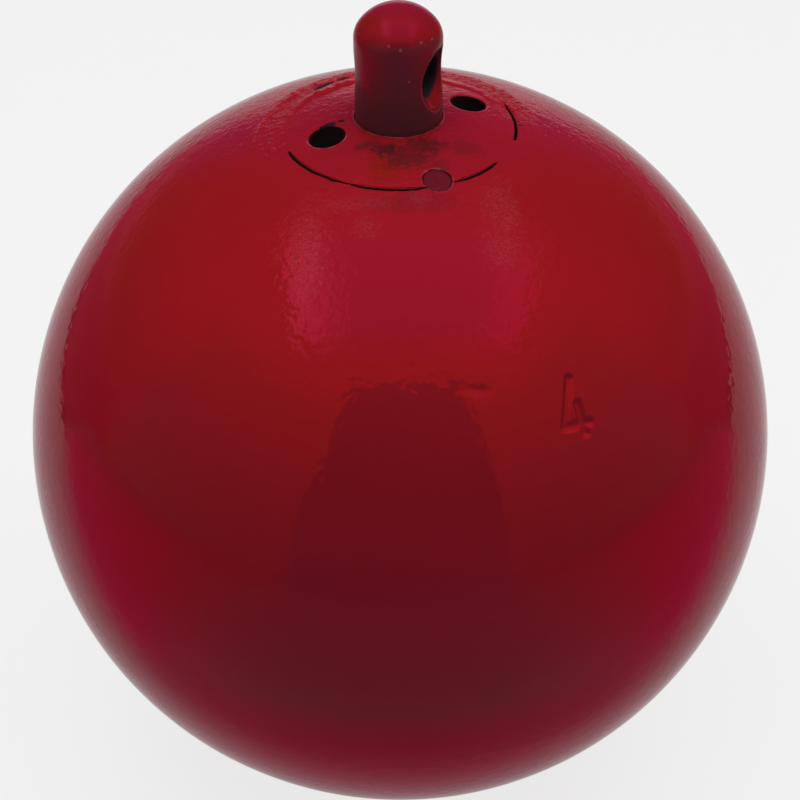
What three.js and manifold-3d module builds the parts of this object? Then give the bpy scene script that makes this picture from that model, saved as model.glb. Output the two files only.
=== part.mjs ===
// Head of a 4 kg throwing hammer: a painted cast ball that holds a ball-bearing swivel.
// Millimetres, +Z along the swivel's axis towards the wire, origin at the centre of the ball.
// The wire pulls the spindle up. Its nut, washers and thrust bearing press on the cap, which is screwed
// into the ball, so the ball can turn freely round the wire.

import * as THREE from 'three';
import { mergeVertices } from 'three/addons/utils/BufferGeometryUtils.js';
import Module from 'manifold-3d';

const wasm = await Module();
wasm.setup();

// Ball and the drilled hole under its pocket
const BALL_DIAMETER = 100;
const TRIM_HOLE_DIAMETER = 14;
const TRIM_HOLE_DEPTH = 24;

// Cap, its thread, its spanner holes and the bush in its middle
const CAP_THICKNESS = 12;
const CAP_RIM_HEIGHT = 3;
const CAP_RIM_OVERHANG = 0.7;
const CAP_EDGE_CHAMFER = 0.25;
const CAP_THREAD_PITCH = 2;
const CAP_LIP_THICKNESS = 6.1;
const SPANNER_HOLE_DIAMETER = 4.4;
const SPANNER_HOLE_DEPTH = 4.4;
const SPANNER_HOLE_AZIMUTH = THREE.MathUtils.degToRad(25);
const BUSH_WALL = 1.45;
const BUSH_RECESS = 0.2;

// Lock pin across the seam
const LOCK_PIN_DIAMETER = 3.2;
const LOCK_PIN_CHAMFER = 0.3;
const LOCK_PIN_RECESS = 0.4;
const LOCK_PIN_FLOOR = 0.75;
const LOCK_PIN_INSET = 0.75;
const LOCK_PIN_AZIMUTH = THREE.MathUtils.degToRad(-70.5);

// Spindle: the stud outside, the shank inside
const STUD_DIAMETER = 10.7;
const STUD_SHOULDER_HEIGHT = 10.45;
const STUD_DOME_OVERHANG = 0.35;
const EYE_DIAMETER = 5;
const EYE_HEIGHT = 5.65;
const EYE_CHAMFER = 1.6;
const EYE_AZIMUTH = THREE.MathUtils.degToRad(-23);
const SHANK_DIAMETER = 10;
const SPINDLE_THREAD_PITCH = 1.5;
const SPINDLE_END_LENGTH = 1.5;
const SPINDLE_END_CHAMFER = 0.8;

// Thrust ball bearing, of a standard size for the shank
const BEARING_DIAMETER = 24;
const BEARING_HEIGHT = 9;
const BEARING_EDGE_CHAMFER = 0.4;
const RACE_DEPTH = 0.9;
const CAGE_THICKNESS = 1.8;
const CAGE_WEB = 0.55;

// Backing washer, castle nut and split pin
const BACKING_WASHER_DIAMETER = 20;
const BACKING_WASHER_THICKNESS = 2;
const NUT_ACROSS_FLATS = 16;
const NUT_HEIGHT = 10;
const NUT_SLOT_DEPTH = 4;
const SPLIT_PIN_DIAMETER = 2.2;
const SPLIT_PIN_LEG_DIAMETER = 1.1;
const SPLIT_PIN_LEG_LENGTH = 2.2;
const SPLIT_PIN_EYE_RADIUS = 0.75;
const SPLIT_PIN_EYE_WIRE_DIAMETER = 0.9;

// Gaps between neighbours: the seam, flat seats, close fits, what turns, and what passes through
const SEAM_GAP = 0.3;
const SEAT_GAP = 0.3;
const FIT_GAP = 0.15;
const RUNNING_GAP = 0.2;
const THREAD_GAP = 0.3;
const HOUSING_BORE_GAP = 0.5;
const NUT_SLOT_GAP = 0.3;
const BEARING_POCKET_GAP = 0.57;
const BEARING_FLOOR_GAP = 0.7;
const NUT_POCKET_GAP = 0.75;
const NUT_FLOOR_GAP = 1.1;

// How far a cutter runs past the face that it cuts
const OVERRUN = 1;

// Numbers of flat sides that round shapes are made with
const BALL_SIDES = 60;
const BALL_RINGS = 28;
const ROUND_SIDES = 36;
const THREAD_SIDES = 20;
const SMALL_ROUND_SIDES = 16;
const BEARING_BALL_SIDES = 12;
const BEARING_BALL_RINGS = 8;
const DOME_RINGS = 5;
const CAP_RINGS = 3;
const RACE_STEPS = 5;

// A metric thread's depth as a share of its pitch, and where its turns start and end along one pitch
const THREAD_DEPTH_SHARE = 0.613;
const THREAD_ROOT_END_SHARE = 0.165;
const THREAD_CREST_START_SHARE = 0.52;
const THREAD_CREST_END_SHARE = 0.645;
const THREAD_ROWS_PER_TURN = 4;

// A bearing ball's diameter as a share of the washers' width, and where the spanner holes lie between the
// stud and the cap's rim
const BEARING_BALL_SHARE = 0.68;
const SPANNER_CIRCLE_SHARE = 0.455;

// Radii that neighbours share, from the swivel's axis out
const ballRadius = BALL_DIAMETER / 2;
const studRadius = STUD_DIAMETER / 2;
const studBoreRadius = studRadius + RUNNING_GAP;
const bushRadius = studBoreRadius + BUSH_WALL;
const shankRadius = SHANK_DIAMETER / 2;
const spindleThreadRoot = shankRadius - SPINDLE_THREAD_PITCH * THREAD_DEPTH_SHARE;
const bearingRadius = BEARING_DIAMETER / 2;
const bearingBallRadius = ((bearingRadius - shankRadius) * BEARING_BALL_SHARE) / 2;
const ballTrackRadius = (bearingRadius + shankRadius) / 2;
const raceRadius = bearingBallRadius + FIT_GAP;
const cageHoleRadius = bearingBallRadius + RUNNING_GAP;
const pocketRadius = bearingRadius + BEARING_POCKET_GAP;
const capThreadRoot = pocketRadius - THREAD_GAP;
const capThreadCrest = capThreadRoot + CAP_THREAD_PITCH * THREAD_DEPTH_SHARE;
const capRadius = capThreadCrest + CAP_RIM_OVERHANG;
const mouthRadius = capRadius + SEAM_GAP;
const lockPinRadius = LOCK_PIN_DIAMETER / 2;
const lockPinCircle = capRadius - LOCK_PIN_INSET;
const splitPinSeat = NUT_ACROSS_FLATS / 2 + SEAT_GAP;
const splitPinReach = splitPinSeat + 2 * SPLIT_PIN_EYE_RADIUS + SPLIT_PIN_EYE_WIRE_DIAMETER / 2;
const nutPocketRadius = Math.max(BACKING_WASHER_DIAMETER / 2, splitPinReach) + NUT_POCKET_GAP;

// As many bearing balls as their track holds with a web of the cage between neighbours
const ballSpacingAngle = 2 * Math.asin((cageHoleRadius + CAGE_WEB / 2) / ballTrackRadius);
const bearingBallCount = Math.floor((2 * Math.PI) / ballSpacingAngle);

// Heights, from the top of the cap down
const capUnderside = ballRadius - CAP_THICKNESS;
const rimUnderside = surfaceHeight(capRadius) - CAP_RIM_HEIGHT;
const bearingTop = capUnderside - SEAT_GAP;
const bearingMiddle = bearingTop - BEARING_HEIGHT / 2;
const bearingBottom = bearingTop - BEARING_HEIGHT;
const backingWasherTop = bearingBottom - SEAT_GAP;
const backingWasherBottom = backingWasherTop - BACKING_WASHER_THICKNESS;
const nutTop = backingWasherBottom - SEAT_GAP;
const nutBottom = nutTop - NUT_HEIGHT;
const splitPinHeight = nutBottom + NUT_SLOT_DEPTH / 2;
const spindleEnd = nutBottom - SPINDLE_END_LENGTH;
const splitPinLegEnd = SPLIT_PIN_LEG_LENGTH + SPLIT_PIN_DIAMETER / 2;
const pocketFloor = Math.min(spindleEnd, splitPinHeight - splitPinLegEnd) - NUT_FLOOR_GAP;
const lockPinTop = surfaceHeight(lockPinCircle) - LOCK_PIN_RECESS;
const lockPinBottom = capUnderside + LOCK_PIN_FLOOR;
const bushBottom = capUnderside + BUSH_RECESS;
const bushSeatTop = ballRadius - CAP_LIP_THICKNESS;

// Height of the ball's surface at a distance from the swivel's axis.
function surfaceHeight(radius) {
  return Math.sqrt(ballRadius ** 2 - radius ** 2);
}

// Points on a circle round centre, as [radius, height], from one angle to another.
function arc(centreRadius, centreHeight, radius, from, to, steps) {
  return Array.from({ length: steps + 1 }, (_, i) => {
    const angle = from + ((to - from) * i) / steps;
    return [centreRadius + radius * Math.cos(angle), centreHeight + radius * Math.sin(angle)];
  });
}

// Angle on the ball, seen from its centre, at which its surface is this far from the swivel's axis.
function surfaceAngle(radius) {
  return Math.acos(radius / ballRadius);
}

// A closed solid from a geometry: shared corners are merged and triangles with no area are left out.
function solidOf(geometry) {
  const bare = new THREE.BufferGeometry();
  bare.setAttribute('position', geometry.attributes.position.clone());
  bare.setIndex(geometry.index);
  const merged = mergeVertices(bare);
  const corners = merged.index.array;
  const triVerts = [];
  for (let i = 0; i < corners.length; i += 3) {
    const triangle = [corners[i], corners[i + 1], corners[i + 2]];
    if (new Set(triangle).size === 3) triVerts.push(...triangle);
  }
  const vertProperties = merged.attributes.position.array;
  const mesh = new wasm.Mesh({ numProp: 3, vertProperties, triVerts: new Uint32Array(triVerts) });
  return new wasm.Manifold(mesh);
}

// A geometry from a closed solid, with one normal for each flat face.
function geometryOf(solid) {
  const { vertProperties, triVerts } = solid.getMesh();
  const geometry = new THREE.BufferGeometry();
  geometry.setAttribute('position', new THREE.BufferAttribute(new Float32Array(vertProperties), 3));
  geometry.setIndex(new THREE.BufferAttribute(new Uint32Array(triVerts), 1));
  return geometry.toNonIndexed();
}

// A solid turned about Z from [radius, height] points, listed upwards along its outside.
function turned(points, sides = ROUND_SIDES) {
  const outline = points.map(([radius, height]) => new THREE.Vector2(radius, height));
  const geometry = new THREE.LatheGeometry(outline, sides);
  geometry.rotateX(Math.PI / 2);
  return solidOf(geometry);
}

// A closed ring turned about Z from an outline that closes on itself.
function turnedRing(points, sides = ROUND_SIDES) {
  return turned([...points, points[0]], sides);
}

// A cylinder along Z from one height to another.
function cylinder(radius, bottom, top, sides = ROUND_SIDES) {
  return turned([[0, bottom], [radius, bottom], [radius, top], [0, top]], sides);
}

// A cylinder along Z with both edges chamfered.
function chamferedCylinder(radius, bottom, top, chamfer, sides = ROUND_SIDES) {
  const inner = radius - chamfer;
  const low = [[0, bottom], [inner, bottom], [radius, bottom + chamfer]];
  const high = [[radius, top - chamfer], [inner, top], [0, top]];
  return turned([...low, ...high], sides);
}

// Moves a solid, then turns it about Z.
function placed(solid, x, y, z, azimuth = 0) {
  return solid.translate([x, y, z]).rotate([0, 0, THREE.MathUtils.radToDeg(azimuth)]);
}

// Lays a solid that was made along Z down along +X, then turns it about Z.
function laidDown(solid, height, azimuth = 0) {
  return placed(solid.rotate([0, THREE.MathUtils.radToDeg(Math.PI / 2), 0]), 0, 0, height, azimuth);
}

// A rod along Z with one helical thread. Each row of corners climbs one pitch a turn, so row j at the end
// of a turn is row j + THREAD_ROWS_PER_TURN at its start. A fan to the axis closes each end.
function threadedRod(root, crest, pitch, bottom, top) {
  const rows = [
    [0, root],
    [THREAD_ROOT_END_SHARE, root],
    [THREAD_CREST_START_SHARE, crest],
    [THREAD_CREST_END_SHARE, crest],
  ];
  const turns = Math.ceil((top - bottom) / pitch) + 1;
  const start = bottom - pitch;
  const rowCount = (turns + 1) * THREAD_ROWS_PER_TURN;
  const position = [];
  for (let j = 0; j < rowCount; j += 1) {
    const [share, radius] = rows[j % THREAD_ROWS_PER_TURN];
    const turn = Math.floor(j / THREAD_ROWS_PER_TURN);
    for (let i = 0; i < THREAD_SIDES; i += 1) {
      const angle = (2 * Math.PI * i) / THREAD_SIDES;
      const height = start + pitch * (turn + share + i / THREAD_SIDES);
      position.push(radius * Math.cos(angle), radius * Math.sin(angle), height);
    }
  }
  const lowCentre = rowCount * THREAD_SIDES;
  const highCentre = lowCentre + 1;
  const highest = start + pitch * (turns + 1);
  position.push(0, 0, start, 0, 0, highest);
  const corner = (i, j) => (i < THREAD_SIDES
    ? j * THREAD_SIDES + i
    : (j + THREAD_ROWS_PER_TURN) * THREAD_SIDES);
  const lastRow = rowCount - THREAD_ROWS_PER_TURN - 1;
  const index = [];
  for (let j = 0; j < lastRow; j += 1) {
    for (let i = 0; i < THREAD_SIDES; i += 1) {
      const [a, b, c, d] = [corner(i, j), corner(i + 1, j), corner(i + 1, j + 1), corner(i, j + 1)];
      index.push(a, b, c, a, c, d);
    }
  }
  for (let i = 0; i < THREAD_SIDES; i += 1) {
    index.push(lowCentre, corner(i + 1, 0), corner(i, 0));
    index.push(highCentre, corner(i, lastRow), corner(i + 1, lastRow));
  }
  for (let j = 0; j < THREAD_ROWS_PER_TURN; j += 1) {
    index.push(lowCentre, corner(0, j), corner(0, j + 1));
    index.push(highCentre, corner(0, lastRow + j + 1), corner(0, lastRow + j));
  }
  const geometry = new THREE.BufferGeometry();
  geometry.setAttribute('position', new THREE.BufferAttribute(new Float32Array(position), 3));
  geometry.setIndex(index);
  return solidOf(geometry);
}

// The cap's thread, with its radii grown by a gap, between two heights. Both halves of the joint use it,
// so that their turns lie one in the other.
function capThread(gap, bottom, top) {
  const root = capThreadRoot + gap;
  const crest = capThreadCrest + gap;
  const rod = threadedRod(root, crest, CAP_THREAD_PITCH, capUnderside - CAP_THREAD_PITCH, ballRadius);
  return rod.intersect(cylinder(mouthRadius + OVERRUN, bottom, top, THREAD_SIDES));
}

// The spindle's thread, in the same way.
function spindleThread(gap, bottom, top) {
  const crest = shankRadius + gap;
  const rod = threadedRod(spindleThreadRoot + gap, crest, SPINDLE_THREAD_PITCH, spindleEnd, nutTop + OVERRUN);
  return rod.intersect(cylinder(crest + OVERRUN, bottom, top, THREAD_SIDES));
}

// The drilled hole for the lock pin, in the cap and the ball alike.
function lockPinHole() {
  const bottom = lockPinBottom - SEAT_GAP;
  const drill = cylinder(lockPinRadius + FIT_GAP, bottom, ballRadius + OVERRUN, SMALL_ROUND_SIDES);
  return placed(drill, lockPinCircle, 0, 0, LOCK_PIN_AZIMUTH);
}

function makeBall() {
  const sphere = turned(arc(0, 0, ballRadius, -Math.PI / 2, Math.PI / 2, BALL_RINGS), BALL_SIDES);
  const trimHoleRadius = TRIM_HOLE_DIAMETER / 2;
  const trimHoleBottom = pocketFloor - TRIM_HOLE_DEPTH;
  const pocket = turned([
    [0, trimHoleBottom],
    [trimHoleRadius, trimHoleBottom],
    [trimHoleRadius, pocketFloor],
    [nutPocketRadius, pocketFloor],
    [nutPocketRadius, bearingBottom - BEARING_FLOOR_GAP],
    [pocketRadius, bearingBottom - BEARING_FLOOR_GAP],
    [pocketRadius, rimUnderside - SEAT_GAP],
    [mouthRadius, rimUnderside - SEAT_GAP],
    [mouthRadius, ballRadius + OVERRUN],
    [0, ballRadius + OVERRUN],
  ]);
  const tapped = capThread(THREAD_GAP, capUnderside - CAP_THREAD_PITCH / 2, rimUnderside);
  return sphere.subtract(pocket).subtract(tapped).subtract(lockPinHole());
}

function makeTrimWeight() {
  const bottom = pocketFloor - TRIM_HOLE_DEPTH + SEAT_GAP;
  return cylinder(TRIM_HOLE_DIAMETER / 2 - FIT_GAP, bottom, pocketFloor - SEAT_GAP, ROUND_SIDES / 2);
}

function makeSwivelCap() {
  const edgeHeight = surfaceHeight(capRadius);
  const disc = turned([
    [0, capUnderside],
    [capThreadRoot, capUnderside],
    [capThreadRoot, rimUnderside],
    [capRadius, rimUnderside],
    [capRadius, edgeHeight - CAP_EDGE_CHAMFER],
    ...arc(0, 0, ballRadius, surfaceAngle(capRadius - CAP_EDGE_CHAMFER), Math.PI / 2, CAP_RINGS),
  ]);
  const thread = capThread(0, capUnderside, rimUnderside + CAP_RIM_HEIGHT / 2);
  const bore = turned([
    [0, capUnderside - OVERRUN],
    [bushRadius + FIT_GAP, capUnderside - OVERRUN],
    [bushRadius + FIT_GAP, bushSeatTop],
    [studBoreRadius, bushSeatTop],
    [studBoreRadius, ballRadius + OVERRUN],
    [0, ballRadius + OVERRUN],
  ]);
  const spannerCircle = studBoreRadius + (capRadius - studBoreRadius) * SPANNER_CIRCLE_SHARE;
  const spannerHoleBottom = surfaceHeight(spannerCircle) - SPANNER_HOLE_DEPTH;
  const spannerHoleRadius = SPANNER_HOLE_DIAMETER / 2;
  const drill = cylinder(spannerHoleRadius, spannerHoleBottom, ballRadius + OVERRUN, SMALL_ROUND_SIDES);
  let cap = disc.add(thread).subtract(bore).subtract(lockPinHole());
  for (const azimuth of [SPANNER_HOLE_AZIMUTH, SPANNER_HOLE_AZIMUTH + Math.PI]) {
    cap = cap.subtract(placed(drill, spannerCircle, 0, 0, azimuth));
  }
  return cap;
}

function makeLockPin() {
  const [radius, chamfer, sides] = [lockPinRadius, LOCK_PIN_CHAMFER, SMALL_ROUND_SIDES];
  const pin = chamferedCylinder(radius, lockPinBottom, lockPinTop, chamfer, sides);
  return placed(pin, lockPinCircle, 0, 0, LOCK_PIN_AZIMUTH);
}

function makeCapBush() {
  const top = bushSeatTop - SEAT_GAP;
  return turnedRing([
    [studBoreRadius, bushBottom],
    [bushRadius, bushBottom],
    [bushRadius, top],
    [studBoreRadius, top],
  ]);
}

// The stud outside the cap with its domed top and eye, the shank inside, and the threaded end.
function makeSwivelSpindle() {
  const shoulderHeight = ballRadius + STUD_SHOULDER_HEIGHT;
  const domeRadius = studRadius + STUD_DOME_OVERHANG;
  const shoulderAngle = Math.acos(studRadius / domeRadius);
  const domeCentre = shoulderHeight - domeRadius * Math.sin(shoulderAngle);
  const threadTop = backingWasherTop - BACKING_WASHER_THICKNESS / 2;
  const body = turned([
    [0, threadTop],
    [shankRadius, threadTop],
    [shankRadius, capUnderside],
    [studRadius, capUnderside],
    ...arc(0, domeCentre, domeRadius, shoulderAngle, Math.PI / 2, DOME_RINGS),
  ]);
  const endRadius = shankRadius + OVERRUN;
  const endShape = turned([
    [0, spindleEnd],
    [shankRadius - SPINDLE_END_CHAMFER, spindleEnd],
    [endRadius, spindleEnd + SPINDLE_END_CHAMFER + OVERRUN],
    [endRadius, threadTop],
    [0, threadTop],
  ], THREAD_SIDES);
  const core = cylinder(spindleThreadRoot, threadTop - OVERRUN, threadTop + OVERRUN, THREAD_SIDES);
  const thread = spindleThread(0, spindleEnd, threadTop).intersect(endShape).add(core);
  const holeRadius = SPLIT_PIN_DIAMETER / 2 + RUNNING_GAP;
  const splitPinHole = cylinder(holeRadius, -endRadius, endRadius, SMALL_ROUND_SIDES);
  return body.subtract(eyeCutter()).add(thread).subtract(laidDown(splitPinHole, splitPinHeight));
}

// What the eye removes: a straight bore that opens at 45 degrees on both sides of the stud.
function eyeCutter() {
  const boreRadius = EYE_DIAMETER / 2;
  const straight = studRadius - EYE_CHAMFER;
  const end = studRadius + OVERRUN;
  const mouth = boreRadius + end - straight;
  const hourglass = turned([
    [0, -end],
    [mouth, -end],
    [boreRadius, -straight],
    [boreRadius, straight],
    [mouth, end],
    [0, end],
  ], ROUND_SIDES / 2);
  return laidDown(hourglass, ballRadius + EYE_HEIGHT, EYE_AZIMUTH);
}

// A washer of the thrust bearing with the balls' groove in one face: side 1 lies above the balls and
// side -1 below them. The outline runs round the ring's section.
function bearingWasher(inner, side) {
  const outer = bearingRadius;
  const back = BEARING_HEIGHT / 2;
  const face = raceRadius - RACE_DEPTH;
  const grooveAngle = Math.asin(face / raceRadius);
  const groove = arc(ballTrackRadius, 0, raceRadius, grooveAngle, Math.PI - grooveAngle, RACE_STEPS);
  const outline = [
    [outer, face],
    [outer, back - BEARING_EDGE_CHAMFER],
    [outer - BEARING_EDGE_CHAMFER, back],
    [inner + BEARING_EDGE_CHAMFER, back],
    [inner, back - BEARING_EDGE_CHAMFER],
    [inner, face],
    ...groove.reverse(),
  ];
  const halfTurn = side > 0 ? 0 : THREE.MathUtils.radToDeg(Math.PI);
  return placed(turnedRing(outline).rotate([halfTurn, 0, 0]), 0, 0, bearingMiddle);
}

function makeBearingCage() {
  const inner = ballTrackRadius - cageHoleRadius - CAGE_WEB;
  const outer = ballTrackRadius + cageHoleRadius + CAGE_WEB;
  const half = CAGE_THICKNESS / 2;
  const hole = cylinder(cageHoleRadius, -half - OVERRUN, half + OVERRUN, SMALL_ROUND_SIDES);
  let cage = turnedRing([[inner, -half], [outer, -half], [outer, half], [inner, half]]);
  for (let i = 0; i < bearingBallCount; i += 1) {
    cage = cage.subtract(placed(hole, ballTrackRadius, 0, 0, ballAzimuth(i)));
  }
  return placed(cage, 0, 0, bearingMiddle);
}

function ballAzimuth(i) {
  return (2 * Math.PI * i) / bearingBallCount;
}

function makeBackingWasher() {
  const inner = shankRadius + FIT_GAP;
  const outer = BACKING_WASHER_DIAMETER / 2;
  return turnedRing([
    [inner, backingWasherBottom],
    [outer, backingWasherBottom],
    [outer, backingWasherTop],
    [inner, backingWasherTop],
  ]);
}

// A hexagon with its corners turned off, tapped, and slotted across its lower end for the split pin.
function makeCastleNut() {
  const cornerRadius = NUT_ACROSS_FLATS / 2 / Math.cos(Math.PI / 6);
  const cornerDrop = cornerRadius - NUT_ACROSS_FLATS / 2;
  const prism = cylinder(cornerRadius, nutBottom, nutTop, 6);
  const rounded = chamferedCylinder(cornerRadius, nutBottom, nutTop, cornerDrop);
  const tapped = spindleThread(FIT_GAP, nutBottom - OVERRUN, nutTop + OVERRUN);
  const slotWidth = SPLIT_PIN_DIAMETER + 2 * NUT_SLOT_GAP;
  const slotDrill = new THREE.BoxGeometry(2 * cornerRadius + OVERRUN, slotWidth, 2 * NUT_SLOT_DEPTH);
  let nut = prism.intersect(rounded).subtract(tapped);
  for (const turn of [0, 1, 2]) {
    nut = nut.subtract(placed(solidOf(slotDrill), 0, 0, nutBottom, (turn * Math.PI) / 3));
  }
  return nut;
}

// A round shank through the nut's slots, with a wire eye at one end and two bent legs at the other.
function makeSplitPin() {
  const wire = SPLIT_PIN_EYE_WIRE_DIAMETER / 2;
  const eye = new THREE.TorusGeometry(SPLIT_PIN_EYE_RADIUS, wire, THREAD_SIDES / 4, THREAD_SIDES / 2);
  const legRadius = SPLIT_PIN_LEG_DIAMETER / 2;
  const [bottom, top] = [-splitPinSeat, splitPinSeat + SPLIT_PIN_LEG_DIAMETER];
  const shank = cylinder(SPLIT_PIN_DIAMETER / 2, bottom, top, SMALL_ROUND_SIDES / 2);
  const legs = cylinder(legRadius, -splitPinLegEnd, splitPinLegEnd, SMALL_ROUND_SIDES / 2);
  const pin = laidDown(shank, 0)
    .add(solidOf(eye).rotate([90, 0, 0]).translate([-splitPinSeat - SPLIT_PIN_EYE_RADIUS, 0, 0]))
    .add(legs.translate([splitPinSeat + legRadius, 0, 0]));
  return placed(pin, 0, 0, splitPinHeight);
}

// Finishes, named for what they are
const redPaint = new THREE.MeshStandardMaterial({ color: 0x8a1420, roughness: 0.18, metalness: 0.2 });
const paintedPin = new THREE.MeshStandardMaterial({ color: 0x6c1019, roughness: 0.4, metalness: 0.2 });
const bearingSteel = new THREE.MeshStandardMaterial({ color: 0xb9bcc0, roughness: 0.2, metalness: 1 });
const plainSteel = new THREE.MeshStandardMaterial({ color: 0x8d9094, roughness: 0.4, metalness: 1 });
const bronze = new THREE.MeshStandardMaterial({ color: 0xa5783c, roughness: 0.4, metalness: 1 });
const lead = new THREE.MeshStandardMaterial({ color: 0x55585c, roughness: 0.7, metalness: 0.8 });

const hammerHead = new THREE.Group();

function addPiece(name, solid, material, parent = hammerHead) {
  const mesh = new THREE.Mesh(geometryOf(solid), material.clone());
  mesh.name = name;
  mesh.geometry.computeVertexNormals();
  parent.add(mesh);
  return mesh;
}

addPiece('ball', makeBall(), redPaint);
addPiece('trim_weight', makeTrimWeight(), lead);
addPiece('swivel_cap', makeSwivelCap(), redPaint);
addPiece('lock_pin', makeLockPin(), paintedPin);
addPiece('cap_bush', makeCapBush(), bronze);
addPiece('bearing_housing_washer', bearingWasher(shankRadius + HOUSING_BORE_GAP, 1), bearingSteel);
addPiece('bearing_cage', makeBearingCage(), bronze);
addPiece('bearing_shaft_washer', bearingWasher(shankRadius + FIT_GAP, -1), bearingSteel);
addPiece('backing_washer', makeBackingWasher(), plainSteel);
addPiece('swivel_spindle', makeSwivelSpindle(), redPaint);
addPiece('castle_nut', makeCastleNut(), plainSteel);
addPiece('split_pin', makeSplitPin(), plainSteel);

// The bearing's balls, spaced evenly on their track
const ballSet = new THREE.Group();
ballSet.position.z = bearingMiddle;
hammerHead.add(ballSet);
for (let i = 0; i < bearingBallCount; i += 1) {
  const sphere = new THREE.SphereGeometry(bearingBallRadius, BEARING_BALL_SIDES, BEARING_BALL_RINGS);
  const azimuth = ballAzimuth(i);
  const mesh = addPiece(`bearing_ball_${i + 1}`, solidOf(sphere), bearingSteel, ballSet);
  mesh.position.set(ballTrackRadius * Math.cos(azimuth), ballTrackRadius * Math.sin(azimuth), 0);
  mesh.rotation.z = azimuth;
}

export default hammerHead;
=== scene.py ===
"""Looks of a throwing hammer's head: a painted cast ball with a ball-bearing swivel in its top.

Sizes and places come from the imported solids. Lengths are metres, and MM is one millimetre.
Azimuth runs anticlockwise from +X seen from above, and polar angles run down from +Z.
"""
import math

import bpy
import numpy as np
from mathutils import Euler, Matrix, Vector


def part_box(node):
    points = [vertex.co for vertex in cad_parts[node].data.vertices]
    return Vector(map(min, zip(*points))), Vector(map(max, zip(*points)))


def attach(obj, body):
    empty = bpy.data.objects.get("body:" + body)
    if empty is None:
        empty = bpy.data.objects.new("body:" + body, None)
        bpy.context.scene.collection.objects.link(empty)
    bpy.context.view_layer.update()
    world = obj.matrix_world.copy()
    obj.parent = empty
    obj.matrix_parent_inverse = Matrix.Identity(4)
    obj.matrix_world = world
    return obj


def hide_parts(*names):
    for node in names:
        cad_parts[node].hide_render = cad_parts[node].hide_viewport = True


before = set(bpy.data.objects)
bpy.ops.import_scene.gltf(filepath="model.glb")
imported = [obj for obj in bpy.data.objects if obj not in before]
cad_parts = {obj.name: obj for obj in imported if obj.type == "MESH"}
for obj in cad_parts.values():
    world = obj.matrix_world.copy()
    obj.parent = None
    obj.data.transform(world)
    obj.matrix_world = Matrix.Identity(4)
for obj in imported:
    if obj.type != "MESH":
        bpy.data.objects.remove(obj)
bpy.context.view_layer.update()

MM = 0.001
TURN = 2 * math.pi
SHARP_ANGLE = math.radians(38)

# Rows and columns of the finished shapes, and how dense the ball's are round the numeral
BALL_COLUMNS = 321
BALL_ROWS = 190
DENSE_GAIN = 4.5
DENSE_WIDTH = 0.13
DENSE_HEIGHT = 0.11
CAP_COLUMNS = 480
CAP_ROWS = 84
THREAD_ROWS = 36
SKIN_COLUMNS = 900
SPINDLE_COLUMNS = 300
SPINDLE_THREAD_ROWS = 76
STUD_ROWS = 110
DOME_ROWS = 40
PIN_COLUMNS = 60
HOLE_SIDES = 72

# Uneven surfaces are sums of waves, whose lengths spread round the one asked for
RIPPLE_WAVES = 24
RIPPLE_SPREAD = (0.7, 1.4)

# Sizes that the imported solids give
ball_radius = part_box("ball")[1].x
cap_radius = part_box("swivel_cap")[1].x
cap_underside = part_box("swivel_cap")[0].z
stud_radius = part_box("swivel_spindle")[1].x
stud_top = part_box("swivel_spindle")[1].z
spindle_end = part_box("swivel_spindle")[0].z
bush_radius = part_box("cap_bush")[1].x
bush_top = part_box("cap_bush")[1].z
bearing_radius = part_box("bearing_housing_washer")[1].x
bearing_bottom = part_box("bearing_shaft_washer")[0].z
washer_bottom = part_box("backing_washer")[0].z
split_pin_reach = -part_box("split_pin")[0].x
split_pin_height = (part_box("split_pin")[0].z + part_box("split_pin")[1].z) / 2
trim_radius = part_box("trim_weight")[1].x
trim_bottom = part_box("trim_weight")[0].z
trim_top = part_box("trim_weight")[1].z
pin_low, pin_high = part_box("lock_pin")

# Gaps that the solids keep to one another
SEAM_GAP = 0.3 * MM
SEAT_GAP = 0.3 * MM
FIT_GAP = 0.15 * MM
RUNNING_GAP = 0.2 * MM

# Paint on the ball, so thin that it stays inside the solid's size
PAINT_SINK = 0.03 * MM
EDGE_ROUNDING = 0.3 * MM
BORE_LIP_GAP = 0.04 * MM
BORE_LIP_THICKNESS = 0.25 * MM
FRAY_PULL = 0.015 * MM
FRAY_REACH = 0.3 * MM
FRAY_LENGTH = 1.5 * MM
SMALL_ROUNDING = 0.1 * MM
CAST_DEPTH = 0.012 * MM
CAST_LENGTH = 14 * MM
paint_radius = ball_radius - PAINT_SINK

# Cap and mouth
mouth_radius = cap_radius + SEAM_GAP
CAP_RIM_HEIGHT = 3 * MM
CAP_THREAD_PITCH = 2 * MM
CAP_THREAD_DEPTH = 1.2 * MM
CAP_THREAD_END = 1.2 * MM
NECK_THREAD_END = 1 * MM
THREAD_STEEPNESS = 3.2
THREAD_ROOT_SHARE = 0.25
CAP_ROOT_OVER_BEARING = 0.27 * MM
POCKET_OVER_BEARING = 0.57 * MM
POCKET_UNDER_BEARING = 0.7 * MM
POCKET_OVER_SPLIT_PIN = 0.75 * MM
cap_thread_root = bearing_radius + CAP_ROOT_OVER_BEARING
pocket_radius = bearing_radius + POCKET_OVER_BEARING
nut_pocket_radius = split_pin_reach + POCKET_OVER_SPLIT_PIN
seam_radius = (cap_radius + mouth_radius) / 2
stud_bore_radius = stud_radius + RUNNING_GAP
SPANNER_HOLE_RADIUS = 2.2 * MM
SPANNER_HOLE_DEPTH = 4.4 * MM
SPANNER_CIRCLE_RADIUS = 9.5 * MM
SPANNER_HOLE_AZIMUTH = math.radians(25)
SPANNER_HOLE_LIP = 0.22 * MM

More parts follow.
